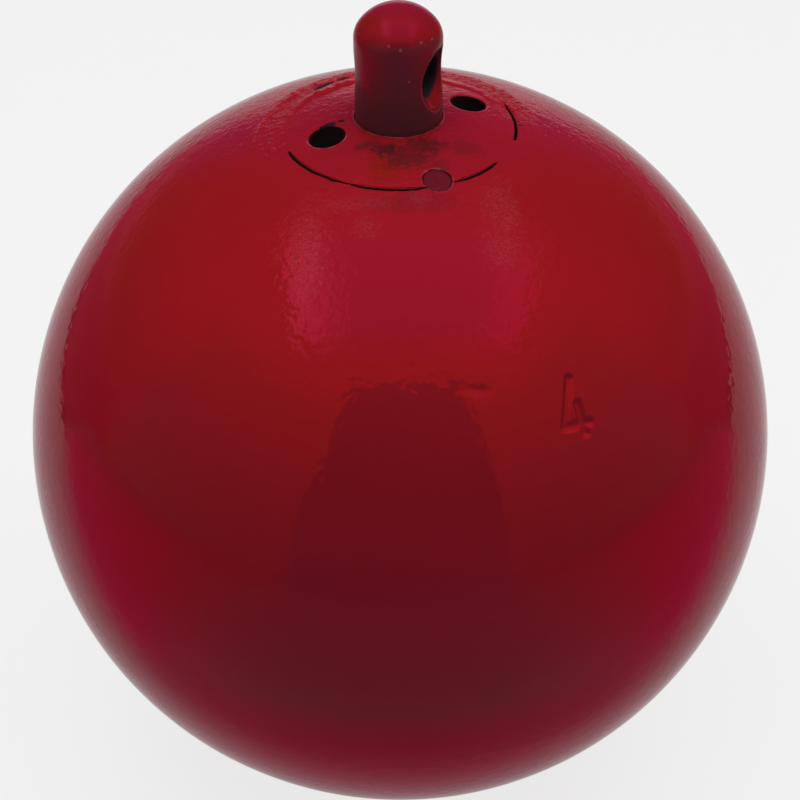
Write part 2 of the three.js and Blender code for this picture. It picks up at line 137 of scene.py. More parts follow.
# Lock pin
pin_place = Vector(((pin_low.x + pin_high.x) / 2, (pin_low.y + pin_high.y) / 2))
PIN_RADIUS = 1.69 * MM
PIN_HOLE_RADIUS = 1.75 * MM
PIN_RECESS = 0.07 * MM
PIN_ROUNDING = 0.12 * MM
PIN_HOLE_LIP = 0.06 * MM
PIN_BUMP = 0.035 * MM
PIN_BUMP_LENGTH = 1.1 * MM
PIN_FOOT_HEIGHT = 0.3 * MM
PIN_FOOT_TAPER = 0.18

# Drills for the lock pin and the spanner holes: their reach over the surface, and their point
DRILL_OVER = 2 * MM
DRILL_POINT = 0.4

# Spindle
SHANK_RADIUS = 5 * MM
SPINDLE_PAINT_SINK = 0.01 * MM
SPINDLE_THREAD_PITCH = 1.5 * MM
SPINDLE_THREAD_DEPTH = 0.9 * MM
SPINDLE_THREAD_END = 1 * MM
SPINDLE_END_CHAMFER = 0.8 * MM
SHOULDER_ROOM = 1.2 * MM
DOME_START = 0.15
CUTTER_ROOM = 1.5 * MM
SHOULDER_HEIGHT = 10.8 * MM
SHOULDER_ROUNDING = 0.8 * MM
EYE_HEIGHT = 5.65 * MM
EYE_RADIUS = 2.5 * MM
EYE_STRAIGHT_HALF = 3.75 * MM
EYE_LIP = 0.35 * MM
EYE_FLARE_SOFTNESS = 0.1 * MM
EYE_AZIMUTH = math.radians(-23)
SPLIT_PIN_HOLE_RADIUS = 1.3 * MM


def smooth_step(value, low, high):
    """0 below low, 1 above high, and 3 t squared minus 2 t cubed between them."""
    t = np.clip((value - low) / (high - low), 0, 1)
    return t * t * (3 - 2 * t)


def smooth_band(value, low, rise_end, fall_start, high):
    """Smooth rise over the first two limits and smooth fall over the last two."""
    return smooth_step(value, low, rise_end) * (1 - smooth_step(value, fall_start, high))


def bell(value, centre, half_width):
    """1 at centre, falling as a Gaussian that is 1 / e at half_width."""
    return np.exp(-(((value - centre) / half_width) ** 2))


def direction(azimuth, polar):
    """Unit vector at an azimuth and a polar angle, for single values or arrays."""
    azimuth, polar = np.broadcast_arrays(azimuth, polar)
    across = np.sin(polar)
    return np.stack([across * np.cos(azimuth), across * np.sin(azimuth), np.cos(polar)], axis=-1)


def around(radius, azimuth, height, middle=(0, 0)):
    """Points at a radius and azimuth round an upright line. The height may be a function of x and y."""
    x = middle[0] + radius * np.cos(azimuth)
    y = middle[1] + radius * np.sin(azimuth)
    return np.stack(np.broadcast_arrays(x, y, height(x, y) if callable(height) else height), axis=-1)


def ripple(points, wavelength, seed):
    """Even unevenness of about -1 to 1: a sum of cosines along directions drawn with a seed."""
    draw = np.random.default_rng(seed)
    along = draw.normal(size=(RIPPLE_WAVES, 3))
    along /= np.linalg.norm(along, axis=1, keepdims=True)
    shift = draw.uniform(0, TURN, RIPPLE_WAVES)
    length = wavelength * draw.uniform(*RIPPLE_SPREAD, RIPPLE_WAVES)
    total = np.zeros(points.shape[:-1])
    for step, phase, size in zip(along, shift, length):
        total += np.cos(points @ step * TURN / size + phase)
    return total / math.sqrt(RIPPLE_WAVES / 2) / 2


def spaced(start, end, count, centre, half_width):
    """Values from start to end, DENSE_GAIN more of them to a length near centre."""
    fine = np.linspace(start, end, 6000)
    density = 1 + DENSE_GAIN * np.exp(-(((fine - centre) / half_width) ** 6))
    travelled = np.concatenate([[0], np.cumsum(density[1:] + density[:-1])])
    return np.interp(np.linspace(0, travelled[-1], count), travelled, fine)


def even_turn(count):
    """Azimuths evenly round a full turn."""
    return np.arange(count) * TURN / count


def rounded(corners, roundings, steps=5):
    """Outline through corners given as (radius, height).

    A corner with a rounding becomes a quadratic curve between the points at that distance on its two sides.
    """
    outline = []
    for i, (corner, rounding) in enumerate(zip(corners, roundings)):
        corner = np.array(corner)
        if rounding == 0:
            outline.append(corner[None])
            continue
        before = np.array(corners[i - 1]) - corner
        after = np.array(corners[i + 1]) - corner
        start = corner + before / np.linalg.norm(before) * rounding
        end = corner + after / np.linalg.norm(after) * rounding
        t = np.linspace(0, 1, steps)[:, None]
        outline.append((1 - t) ** 2 * start + 2 * t * (1 - t) * corner + t * t * end)
    return np.concatenate(outline)


def piece_from_faces(name, points, faces):
    """Object with smooth faces from an array of points and arrays of corner numbers."""
    corners = np.concatenate([f.ravel() for f in faces])
    used, renumbered = np.unique(corners, return_inverse=True)
    lists = []
    done = 0
    for f in faces:
        lists += renumbered[done:done + f.size].reshape(f.shape).tolist()
        done += f.size
    mesh = bpy.data.meshes.new(name)
    mesh.from_pydata(points.reshape(-1, 3)[used].tolist(), [], lists)
    mesh.shade_smooth()
    piece = bpy.data.objects.new(name, mesh)
    bpy.context.scene.collection.objects.link(piece)
    return piece


def closed_grid(name, points, ring):
    """Object from points in rows of azimuth and columns of profile, closed round the turn.

    A ring's profile also closes on itself. Otherwise its first and last columns are each one pole.
    """
    index = np.arange(points.shape[0] * points.shape[1]).reshape(points.shape[:2])
    if ring:
        index = np.concatenate([index, index[:, :1]], axis=1)
    beside = np.roll(index, -1, axis=0)
    quads = np.stack([index[:, :-1], beside[:, :-1], beside[:, 1:], index[:, 1:]], axis=-1)
    if ring:
        return piece_from_faces(name, points, [quads.reshape(-1, 4)])
    low = np.stack([np.full(len(index), index[0, 0]), beside[:, 1], index[:, 1]], axis=-1)
    high = np.stack([index[:, -2], beside[:, -2], np.full(len(index), index[0, -1])], axis=-1)
    return piece_from_faces(name, points, [quads[:, 1:-1].reshape(-1, 4), low, high])


def turned(name, parts, azimuth, ring=False):
    """Outline of (radius, height) turned about Z: x = radius cos, y = radius sin, z = height.

    The outline comes in parts, each the same at every azimuth or with a row for each. Faces point outwards
    where it runs upwards along the outside.
    """
    rows = [np.broadcast_to(part, (len(azimuth), *np.shape(part)[-2:])) for part in parts]
    radius, height = np.moveaxis(np.concatenate(rows, axis=1), -1, 0)
    return closed_grid(name, around(radius, azimuth[:, None], height), ring)


def reshape_in_place(piece, move):
    """Moves a piece's points by a function of the array of points."""
    co = np.empty(len(piece.data.vertices) * 3)
    piece.data.vertices.foreach_get("co", co)
    piece.data.vertices.foreach_set("co", move(co.reshape(-1, 3)).ravel())
    piece.data.update()


def cut(piece, cutters):
    """Takes the cutters out of a piece, and then deletes them."""
    for cutter in cutters:
        modifier = piece.modifiers.new(cutter.name, "BOOLEAN")
        modifier.operation = "DIFFERENCE"
        modifier.solver = "MANIFOLD"
        modifier.object = cutter
    finished = piece.evaluated_get(bpy.context.evaluated_depsgraph_get())
    mesh = bpy.data.meshes.new_from_object(finished)
    piece.modifiers.clear()
    piece.data = mesh
    mesh.name = piece.name
    mesh.shade_smooth()
    for cutter in cutters:
        bpy.data.objects.remove(cutter)


def sharpen(piece):
    """Faces that meet at a sharp angle keep their edge, and large faces lead the shading."""
    piece.data.set_sharp_from_angle(angle=SHARP_ANGLE)
    modifier = piece.modifiers.new("even_shading", "WEIGHTED_NORMAL")
    modifier.keep_sharp = True


def sphere_height(x, y):
    """Height of the ball's paint over a place."""
    return np.sqrt(paint_radius**2 - x**2 - y**2)


def on_ball(radius):
    """Radius and height of the ball's surface."""
    return radius, sphere_height(radius, 0)


def threaded(azimuth, height, root, pitch, depth, share=1.0, limit=math.inf):
    """Rows of (radius, height) of a right-hand thread over its root, for each azimuth.

    The place along a pitch is the height less the pitch times the share of the turn, and the flanks rise
    and fall in straight lines between a flat root and a flat crest. Shares of less than 1 flatten it.
    """
    along = (height / pitch - azimuth[:, None] / TURN) % 1
    flanks = np.clip((0.5 - np.abs(along - 0.5)) * THREAD_STEEPNESS - THREAD_ROOT_SHARE, 0, 1)
    radius = np.minimum(root + depth * flanks * share, limit)
    return np.stack([radius, np.broadcast_to(height, radius.shape)], axis=-1)


# Strokes pressed into the casting, a plain numeral 4 and a dash, as azimuth and polar angle of both ends
NUMERAL_STROKES = (
    ((-58.9, 47.9), (-62.2, 53.4)),
    ((-62.4, 53.8), (-57.8, 54.2)),
    ((-58.9, 51.4), (-59.1, 55.4)),
)
DASH_STROKES = (((-77.3, 46.1), (-75.2, 46.6)),)
NUMERAL_PLACE = (-60.2, 51.8)
STROKE_HALF_WIDTH = 0.74 * MM
STROKE_FLOOR = 0.15
STROKE_DEPTH = 0.4 * MM
DASH_DEPTH = 0.16 * MM


def stroke_depth(points, strokes):
    """How deep each point lies in the strokes, from 0 beside them to 1 along their lines."""
    depth = np.zeros(points.shape[:-1])
    for ends in strokes:
        start, end = (direction(*np.radians(e)) * ball_radius for e in ends)
        line = end - start
        t = np.clip((points - start) @ line / (line @ line), 0, 1)
        away = np.linalg.norm(points - start - t[..., None] * line, axis=-1)
        depth = np.maximum(depth, 1 - smooth_step(away, STROKE_FLOOR * STROKE_HALF_WIDTH, STROKE_HALF_WIDTH))
    return depth


def make_ball():
    """Sphere with a rounded mouth, a tapped neck, and the stepped pocket for the swivel inside."""
    azimuth = np.radians(NUMERAL_PLACE[0] - 180) + spaced(0, TURN, BALL_COLUMNS, math.pi, DENSE_WIDTH)[:-1]
    mouth_polar = math.asin((mouth_radius + EDGE_ROUNDING) / paint_radius)
    polar = spaced(math.pi, mouth_polar, BALL_ROWS, math.radians(NUMERAL_PLACE[1]), DENSE_HEIGHT)
    sphere = direction(azimuth[:, None], polar[None]) * paint_radius
    pressed = stroke_depth(sphere, NUMERAL_STROKES) * STROKE_DEPTH
    pressed = pressed + stroke_depth(sphere, DASH_STROKES) * DASH_DEPTH
    cast = CAST_DEPTH * (1 - ripple(sphere, CAST_LENGTH, seed=3)) / 2
    radius = paint_radius - pressed - cast
    seat = sphere_height(cap_radius, 0) - CAP_RIM_HEIGHT - SEAT_GAP
    mouth = rounded([on_ball(mouth_radius + EDGE_ROUNDING), on_ball(mouth_radius), (mouth_radius, seat),
                     (pocket_radius, seat)], [0, EDGE_ROUNDING, SMALL_ROUNDING, 0])[1:]
    neck_height = np.linspace(seat, cap_underside - CAP_THREAD_PITCH / 2, THREAD_ROWS)
    neck_end = smooth_step(neck_height, neck_height[-1], neck_height[-1] + NECK_THREAD_END)
    neck = threaded(azimuth, neck_height, pocket_radius, CAP_THREAD_PITCH, CAP_THREAD_DEPTH, neck_end)
    bearing_floor = bearing_bottom - POCKET_UNDER_BEARING
    pocket_floor = trim_top + SEAT_GAP
    trim_hole = trim_radius + FIT_GAP
    trim_floor = trim_bottom - SEAT_GAP
    inside = rounded(
        [(pocket_radius, neck_height[-1]), (pocket_radius, bearing_floor),
         (nut_pocket_radius, bearing_floor), (nut_pocket_radius, pocket_floor),
         (trim_hole, pocket_floor), (trim_hole, trim_floor), (0, trim_floor)],
        [0, 0.5 * MM, 0.3 * MM, 0.8 * MM, 0.5 * MM, 0.8 * MM, 0])[1:]
    outer = np.stack([radius * np.sin(polar), radius * np.cos(polar)], axis=-1)
    return turned("painted_ball", [outer, mouth, neck, inside], azimuth)


def make_cap():
    """Disc on the ball's own curve, with a thread below its rim and a stepped bore for the bush."""
    azimuth = even_turn(CAP_COLUMNS)
    rim_underside = sphere_height(cap_radius, 0) - CAP_RIM_HEIGHT
    lip_radius = stud_radius + BORE_LIP_GAP
    top_radius = np.linspace(cap_radius - EDGE_ROUNDING, lip_radius + SMALL_ROUNDING / 2, CAP_ROWS)
    top = np.stack(on_ball(top_radius), axis=-1)
    angle, radius = np.meshgrid(azimuth, top_radius, indexing="ij")
    bead = seam_ridges(radius, angle, around(radius, angle, sphere_height(radius, 0)))
    relief = np.stack(on_ball(radius), axis=-1) * (1 + bead / paint_radius)[..., None]
    bush_bore = bush_radius + FIT_GAP
    bush_seat = bush_top + SEAT_GAP
    rim = rounded([(cap_thread_root, rim_underside), (cap_radius, rim_underside), on_ball(cap_radius),
                   top[1]], [0, SMALL_ROUNDING, EDGE_ROUNDING, 0])[:-1]
    lip_height = sphere_height(lip_radius, 0)
    bore = rounded([top[-2], (lip_radius, lip_height), (lip_radius, lip_height - BORE_LIP_THICKNESS),
                    (stud_bore_radius, lip_height - 2 * BORE_LIP_THICKNESS), (stud_bore_radius, bush_seat),
                    (bush_bore, bush_seat), (bush_bore, cap_underside), (cap_thread_root, cap_underside)],
                   [0, SMALL_ROUNDING / 2, 0, 0, SMALL_ROUNDING, 0, 2 * SMALL_ROUNDING, 0])[1:-1]
    height = np.linspace(cap_underside, rim_underside, THREAD_ROWS)[:-1]
    ends = smooth_step(height, cap_underside, cap_underside + CAP_THREAD_END)
    neck = threaded(azimuth, height, cap_thread_root, CAP_THREAD_PITCH, CAP_THREAD_DEPTH, ends)
    cap = turned("painted_cap", [neck, rim, relief[:, 1:-1], bore], azimuth, ring=True)
    reshape_in_place(cap, fray_stud_lip)
    return cap


def fray_stud_lip(points):
    """Draws the cap's lip back from the stud by an uneven amount that falls off as a Gaussian outwards."""
    radius = np.hypot(points[:, 0], points[:, 1])
    near = bell(radius, stud_radius, FRAY_REACH)
    near = np.where(points[:, 2] > sphere_height(stud_radius, 0) - 1.2 * BORE_LIP_THICKNESS, near, 0)
    pull = FRAY_PULL * np.clip(1 + 1.4 * ripple(points, FRAY_LENGTH, seed=22), 0, 3) * near
    scale = 1 + pull / radius
    return points * np.stack([scale, scale, np.ones_like(scale)], axis=1)


def drill(name, place, radius, bottom, lip):
    """Closed drill shape whose sides flare out over the last bit below the ball's surface.

    The flare is a quarter circle of the lip's size, measured down from the sphere over each point, so the
    lip of the hole is equally round all the way.
    """
    angle = even_turn(HOLE_SIDES)[:, None]
    t = np.linspace(0, math.pi / 2, 7)
    wall = around(radius + lip * (1 - np.cos(t)), angle, sphere_height, place)
    wall[..., 2] -= lip * (1 - np.sin(t))
    over = wall[:, -1:] + np.array([0, 0, DRILL_OVER])
    foot = around(radius, angle, bottom, place)
    cone = around(0, angle, bottom - DRILL_POINT * radius, place)
    top = around(0, angle, ball_radius + 1.5 * DRILL_OVER, place)
    return closed_grid(name, np.concatenate([cone, foot, wall, over, top], axis=1), False)


def spanner_drills():
    """Drills for the two spanner holes, opposite each other."""
    drills = []
    for azimuth in (SPANNER_HOLE_AZIMUTH, SPANNER_HOLE_AZIMUTH + math.pi):
        place = SPANNER_CIRCLE_RADIUS * np.array([math.cos(azimuth), math.sin(azimuth)])
        bottom = sphere_height(*place) - SPANNER_HOLE_DEPTH
        drills.append(drill("spanner_drill", place, SPANNER_HOLE_RADIUS, bottom, SPANNER_HOLE_LIP))
    return drills


def pin_drill():
    """Drill for the lock pin, which cuts the cap, the ball and the paint alike."""
    return drill("pin_drill", pin_place, PIN_HOLE_RADIUS, pin_low.z - SEAT_GAP, PIN_HOLE_LIP)


def make_lock_pin():
    """Round pin whose top follows the ball's curve just below it, uneven with paint."""
    angle = even_turn(PIN_COLUMNS)[:, None]
    rho = np.concatenate([np.linspace(0, PIN_RADIUS - PIN_ROUNDING, 14),
                          PIN_RADIUS - PIN_ROUNDING * (1 - np.sin(np.linspace(0.2, math.pi / 2, 5)))])
    beyond = np.clip((rho - PIN_RADIUS) / PIN_ROUNDING + 1, 0, 1)
    sink = PIN_RECESS + PIN_ROUNDING * (1 - np.sqrt(1 - beyond**2))
    bumps = PIN_BUMP * ripple(around(rho, angle, 0, pin_place), PIN_BUMP_LENGTH, seed=8)
    top = around(rho, angle, sphere_height, pin_place)
    top[..., 2] += bumps * (rho < PIN_RADIUS - SMALL_ROUNDING) - sink
    top[:, 0] = top[:, 0].mean(axis=0)
    foot = around(PIN_RADIUS, angle, pin_low.z + PIN_FOOT_HEIGHT, pin_place)
    tip = around(PIN_RADIUS * (1 - PIN_FOOT_TAPER), angle, pin_low.z, pin_place)
    pole = around(0, angle, pin_low.z, pin_place)
    return closed_grid("pressed_lock_pin", np.concatenate([pole, tip, foot, top[:, ::-1]], axis=1), False)


# Where the seam between cap and ball stays open, as azimuths of both ends in degrees and half the width
SEAM_OPENINGS = (
    (-156.0, -126.5, 0.32 * MM),
    (-125.6, -120.0, 0.32 * MM),
    (-119.5, -114.8, 0.16 * MM),
    (-113.0, -77.0, 0.28 * MM),
    (-62.5, -36.3, 0.28 * MM),
    (-12.5, 23.0, 0.42 * MM),
    (116.5, 122.5, 0.5 * MM),
    (125.5, 138.0, 0.5 * MM),
)
SEAM_DEPTH = 1.5 * MM
SKIN_THICKNESS = 0.35 * MM
SKIN_LIFT = 0.02 * MM
SKIN_DIP = 0.05 * MM
SKIN_INNER_RADIUS = 12.4 * MM
SKIN_OUTER_RADIUS = 19 * MM
# Rows of the skin across the groove, in halves of its width, and the room they keep to the other rows
GROOVE_STEPS = (-1.9, -1.35, -1.0, -0.8, -0.35, 0.35, 0.8, 1.0, 1.35, 1.9)
GROOVE_ROOM = 0.97 * MM
# Ends of the openings in degrees, and how much narrower and more ragged they are there
OPENING_RAMP = 0.6
OPENING_TAPER = 7
OPENING_END_SHARE = 0.45
OPENING_RAGGEDNESS = 0.2
CLOSED_HALF_WIDTH = 0.1 * MM


def seam_opening(azimuth):
    """How far the seam is open, from 0 to 1, and half its width, at each azimuth."""
    degrees = np.degrees(azimuth)
    ragged = ripple(np.stack([degrees, degrees * 0, degrees * 0], -1), 1.6, seed=5)
    open_share = np.zeros(len(azimuth))
    half_width = np.full(len(azimuth), CLOSED_HALF_WIDTH)
    for start, end, width in SEAM_OPENINGS:
        inside = smooth_band(degrees + 0.5 * ragged, start - OPENING_RAMP, start + OPENING_RAMP,
                             end - OPENING_RAMP, end + OPENING_RAMP)
        run = min(OPENING_TAPER, (end - start) / 2)
        taper = smooth_band(degrees, start - 1, start + run, end - run, end + 1)
        share = OPENING_END_SHARE + (1 - OPENING_END_SHARE) * taper + OPENING_RAGGEDNESS * ragged
        half_width = np.where(inside > open_share, width * share, half_width)
        open_share = np.maximum(open_share, inside)
    kernel = np.ones(9) / 9
    padded = np.concatenate([half_width[-4:], half_width, half_width[:4]])
    return open_share, np.convolve(padded, kernel, mode="valid")


# Bead of brushed paint on the cap's back: azimuth, radius of its foot and height, in degrees and millimetres
BEAD = (
    (12, 14.0, 0.0),
    (21, 13.4, 0.14),
    (28, 12.6, 0.2),
    (45, 12.0, 0.26),
    (59, 11.2, 0.3),
    (90, 11.1, 0.34),
    (122, 11.3, 0.42),
    (135, 11.6, 0.42),
    (145, 12.1, 0.4),
    (160, 12.9, 0.3),
    (176, 13.6, 0.12),
    (192, 14.2, 0.0),
)


# Where the wrinkles lie on the left and the right, in degrees of azimuth, and how high they are
WRINKLES_LEFT = (92, 108, 196, 214)
WRINKLES_RIGHT = (8, 26, 84, 96)
OUTER_WRINKLE_HEIGHT = 0.18 * MM
BACK_WRINKLE_HEIGHT = 0.1 * MM
STRAND_HEIGHT = 0.06 * MM
GRAIN_HEIGHT = 0.075 * MM
GRAIN_ELSEWHERE = 0.09


def seam_ridges(radius, azimuth, points):
    """Height of the brushed paint: a bead on the cap's back, wrinkles round it, strands and grain.

    The bead rises over 0.4 mm from its foot and falls over 1.4 mm on its outer side.
    """
    degrees = np.degrees(azimuth) % 360
    wander = ripple(points, 5 * MM, seed=11) * MM
    lumps = 0.75 + 0.3 * ripple(points, 1.7 * MM, seed=12)
    turn, foot, height = np.array(BEAD).T
    beside = radius - np.interp(degrees, turn, foot) * MM + 0.2 * wander
    bead = smooth_band(beside, 0, 0.4 * MM, 0.8 * MM, 2.2 * MM)
    bead = bead * np.interp(degrees, turn, height, 0, 0) * MM * lumps
    left = smooth_band(degrees, *WRINKLES_LEFT)
    right = smooth_band(degrees, *WRINKLES_RIGHT)
    run = np.clip((degrees - 100) / 80, 0, 1.2)
    outer = bell(radius, (14.95 + 2.5 * run**1.4) * MM + 0.16 * wander, 0.28 * MM)
    outer = outer * OUTER_WRINKLE_HEIGHT * left * lumps
    back = bell(radius, 15.0 * MM + 0.2 * wander, 0.3 * MM) * BACK_WRINKLE_HEIGHT * right * lumps
    stretched = np.stack([radius / (0.7 * MM), azimuth * 5, azimuth * 0], axis=-1)
    band = np.maximum(left, right)
    strands = ripple(stretched, 1.0, seed=13) * STRAND_HEIGHT * band
    grain = ripple(points, 0.85 * MM, seed=14) * GRAIN_HEIGHT * np.maximum(band, GRAIN_ELSEWHERE)
    outside = smooth_step(radius, cap_radius - 0.4 * MM, cap_radius + 0.2 * MM)
    fade = 1 - smooth_step(radius, 16.6 * MM, SKIN_OUTER_RADIUS - 0.4 * MM)
    return (bead + (outer + back + strands + grain) * outside) * fade


def make_seam_paint():
    """Skin of brushed paint over the seam, a sheet on the ball's curve that closes far under itself.

    Its height over the sphere is the ridges less the groove where the seam is open. Rows near the seam move
    with half the groove's width, and the sheet dips under the cap's and the ball's own paint at its borders.
    """
    azimuth = -math.pi + even_turn(SKIN_COLUMNS)
    open_share, half_width = seam_opening(azimuth)
    near = seam_radius + np.outer(half_width, GROOVE_STEPS)
    inner = np.linspace(SKIN_INNER_RADIUS, seam_radius - GROOVE_ROOM, 8)
    outer = np.linspace(seam_radius + GROOVE_ROOM, SKIN_OUTER_RADIUS, 38)
    radius = np.concatenate([np.broadcast_to(part, (len(azimuth), part.shape[-1]))
                             for part in (inner, near, outer)], axis=1)
    angle = np.broadcast_to(azimuth[:, None], radius.shape)
    points = around(radius, angle, sphere_height)
    groove = 1 - smooth_step(np.abs(radius - seam_radius) / half_width[:, None], 0.8, 1.0)
    border = smooth_band(radius, SKIN_INNER_RADIUS, SKIN_INNER_RADIUS + 0.4 * MM,
                         SKIN_OUTER_RADIUS - 2.5 * MM, SKIN_OUTER_RADIUS)
    lift = seam_ridges(radius, angle, points) + SKIN_LIFT - SKIN_DIP * (1 - border)
    lift = lift - SEAM_DEPTH * groove * open_share[:, None]
    top = points * (1 + lift / paint_radius)[..., None]
    bottom = points[:, ::9] * (1 - (SEAM_DEPTH + SKIN_THICKNESS) / paint_radius)
    return closed_grid("seam_paint", np.concatenate([bottom, top[:, ::-1]], axis=1), True)


def make_spindle():
    """One turned shape: threaded end, plain shank, and the stud outside with its shoulder and dome."""
    azimuth = even_turn(SPINDLE_COLUMNS)
    neck = washer_bottom + SPINDLE_THREAD_END
    height = np.linspace(spindle_end, neck, SPINDLE_THREAD_ROWS)
    chamfer = np.minimum(SHANK_RADIUS - SPINDLE_END_CHAMFER + (height - spindle_end), SHANK_RADIUS)
    screw = threaded(azimuth, height, SHANK_RADIUS - SPINDLE_THREAD_DEPTH, SPINDLE_THREAD_PITCH,
                     SPINDLE_THREAD_DEPTH, limit=chamfer)
    stud = stud_radius - SPINDLE_PAINT_SINK
    shank = rounded([(SHANK_RADIUS, neck), (SHANK_RADIUS, cap_underside), (stud, cap_underside),
                     (stud, cap_underside + 2 * MM)], [0, 0, SMALL_ROUNDING, 0], 3)
    shoulder = ball_radius + SHOULDER_HEIGHT
    foot = sphere_height(stud_bore_radius, 0)
    wall = np.linspace((stud, foot), (stud, shoulder - SHOULDER_ROOM), STUD_ROWS)
    rise = stud_top - SPINDLE_PAINT_SINK - shoulder
    dome_radius = (stud**2 + rise**2) / (2 * rise)
    dome_middle = shoulder + rise - dome_radius
    first = math.acos(stud / dome_radius)
    angle = np.linspace(first + DOME_START, math.pi / 2, DOME_ROWS)
    dome = np.stack([dome_radius * np.cos(angle), dome_middle + dome_radius * np.sin(angle)], axis=-1)
    dome[-1, 0] = 0
    shoulder_edge = (stud, dome_middle + dome_radius * math.sin(first))
    edge = rounded([wall[-2], shoulder_edge, dome[0]], [0, SHOULDER_ROUNDING, 0], 12)[1:-1]
    parts = [[[0, spindle_end]], screw, shank, wall[:-1], edge, dome]
    spindle = turned("swivel_spindle_finished", parts, azimuth)
    reshape_in_place(spindle, round_eye_lip)
    cut(spindle, [eye_cutter(), split_pin_cutter()])
    return spindle


def round_eye_lip(points):
    """Draws the stud's surface in round the eye, by a square that falls to nothing a lip's width away."""
    along = np.array([math.cos(EYE_AZIMUTH), math.sin(EYE_AZIMUTH), 0])
    offset = points - np.array([0, 0, ball_radius + EYE_HEIGHT])
    distance = offset @ along
    away = np.linalg.norm(offset - distance[:, None] * along, axis=1)
    mouth = EYE_RADIUS + np.maximum(np.abs(distance) - EYE_STRAIGHT_HALF, 0)
    near = np.clip(1 - (away - mouth) / EYE_LIP, 0, 1)
    near = np.where(points[:, 2] > ball_radius - 2 * MM, near, 0)
    scale = 1 - 0.5 * EYE_LIP * near**2 / stud_radius
    return points * np.stack([scale, scale, np.ones_like(scale)], axis=1)


def eye_cutter():
    """Round bar whose radius grows outwards along its length, so that the eye opens on both sides."""
    reach = stud_radius + CUTTER_ROOM
    along = np.concatenate([[-reach], np.linspace(-reach, reach, 61), [reach]])
    opened = np.maximum(np.abs(along) - EYE_STRAIGHT_HALF, 0)
    radius = EYE_RADIUS + np.hypot(opened, EYE_FLARE_SOFTNESS) - EYE_FLARE_SOFTNESS
    radius[[0, -1]] = 0
    cutter = turned("eye_cutter", [np.stack([radius, along], axis=-1)], even_turn(HOLE_SIDES))
    turn = Matrix.Rotation(EYE_AZIMUTH, 4, "Z") @ Matrix.Rotation(math.pi / 2, 4, "Y")
    cutter.data.transform(Matrix.Translation((0, 0, ball_radius + EYE_HEIGHT)) @ turn)
    return cutter


def split_pin_cutter():
    """Round bar across the spindle's end."""
    reach = SHANK_RADIUS + 1 * MM
    outline = [(0, -reach), (SPLIT_PIN_HOLE_RADIUS, -reach), (SPLIT_PIN_HOLE_RADIUS, reach), (0, reach)]
    cutter = turned("split_pin_cutter", [outline], even_turn(36))
    cutter.data.transform(Matrix.Translation((0, 0, split_pin_height)) @ Matrix.Rotation(math.pi / 2, 4, "Y"))
    return cutter


def set_inputs(node, inputs):
    """Sets a node's inputs to plain values, or joins them to values of its tree."""
    for key, value in inputs.items():
        if isinstance(value, Value):
            node.id_data.links.new(value.socket, node.inputs[key])
        else:
            node.inputs[key].default_value = value


def add_node(tree, kind, inputs=None, **settings):
    """New node with its settings made and its inputs set."""
    node = tree.nodes.new("ShaderNode" + kind)
    for name, value in settings.items():
        setattr(node, name, value)
    set_inputs(node, inputs or {})
    return node


class Value:
    """A number, colour, vector or shader in a node tree. What is done with it becomes a node of that tree."""

    def __init__(self, socket):
        self.socket = socket

    def to_node(self, kind, inputs=None, output=0, **settings):
        """Result of a new node whose first input is this value."""
        node = add_node(self.socket.id_data, kind, {0: self, **(inputs or {})}, **settings)
        return Value(node.outputs[output])

    def math(self, operation, other=0.0):
        """Result of a math node."""
        return self.to_node("Math", {1: other}, operation=operation)

    def __add__(self, other):
        return self.math("ADD", other)

    def __sub__(self, other):
        return self.math("SUBTRACT", other)

    def __rsub__(self, other):
        return self * -1.0 + other

    def __mul__(self, other):
        return self.math("MULTIPLY", other)

    def ramp(self, low, high, start=0.0, end=1.0):
        """Smooth rise from start at low to end at high."""
        inputs = {1: low, 2: high, 3: start, 4: end}
        return self.to_node("MapRange", inputs, interpolation_type="SMOOTHSTEP")

    def band(self, low, rise_end, fall_start, high):
        """Smooth rise over the first two values and smooth fall over the last two."""
        return self.ramp(low, rise_end) * self.ramp(high, fall_start)

    def blend(self, first, second):
        """Mix of two colours by this share."""
        return self.to_node("Mix", {6: first, 7: second}, 2, data_type="RGBA")

    def mix(self, first, second):
        """Mix of two shaders by this share."""
        return self.to_node("MixShader", {1: first, 2: second})

    def noise(self, scale, detail=2.0, roughness=0.5):
        """Noise over this place."""
        return self.to_node("TexNoise", {"Scale": scale, "Detail": detail, "Roughness": roughness})

    def vector(self, operation, inputs=None, output=0):
        """Result of a vector math node."""
        return self.to_node("VectorMath", inputs, output, operation=operation)

    def away_from(self, centre):
        """This place as seen from another."""
        return self.vector("SUBTRACT", {1: centre})

    def length(self):
        """Length of this vector."""
        return self.vector("LENGTH", output="Value")

    def parts(self, kind="SeparateXYZ", inputs=None):
        """All results of a new node that takes this value: for a vector, its x, y and z."""
        node = add_node(self.socket.id_data, kind, {0: self, **(inputs or {})})
        return [Value(socket) for socket in node.outputs]


def largest(*values):
    """Largest of several values."""
    result = values[0]
    for value in values[1:]:
        result = result.math("MAXIMUM", value)
    return result


def own_place(tree):
    """The piece's own coordinates in metres."""
    return Value(add_node(tree, "TexCoord").outputs["Object"])


def axis_distance(place):
    """Distance from the upright axis, and height."""
    x, y, z = place.parts()
    return (x * x + y * y).math("SQRT"), z


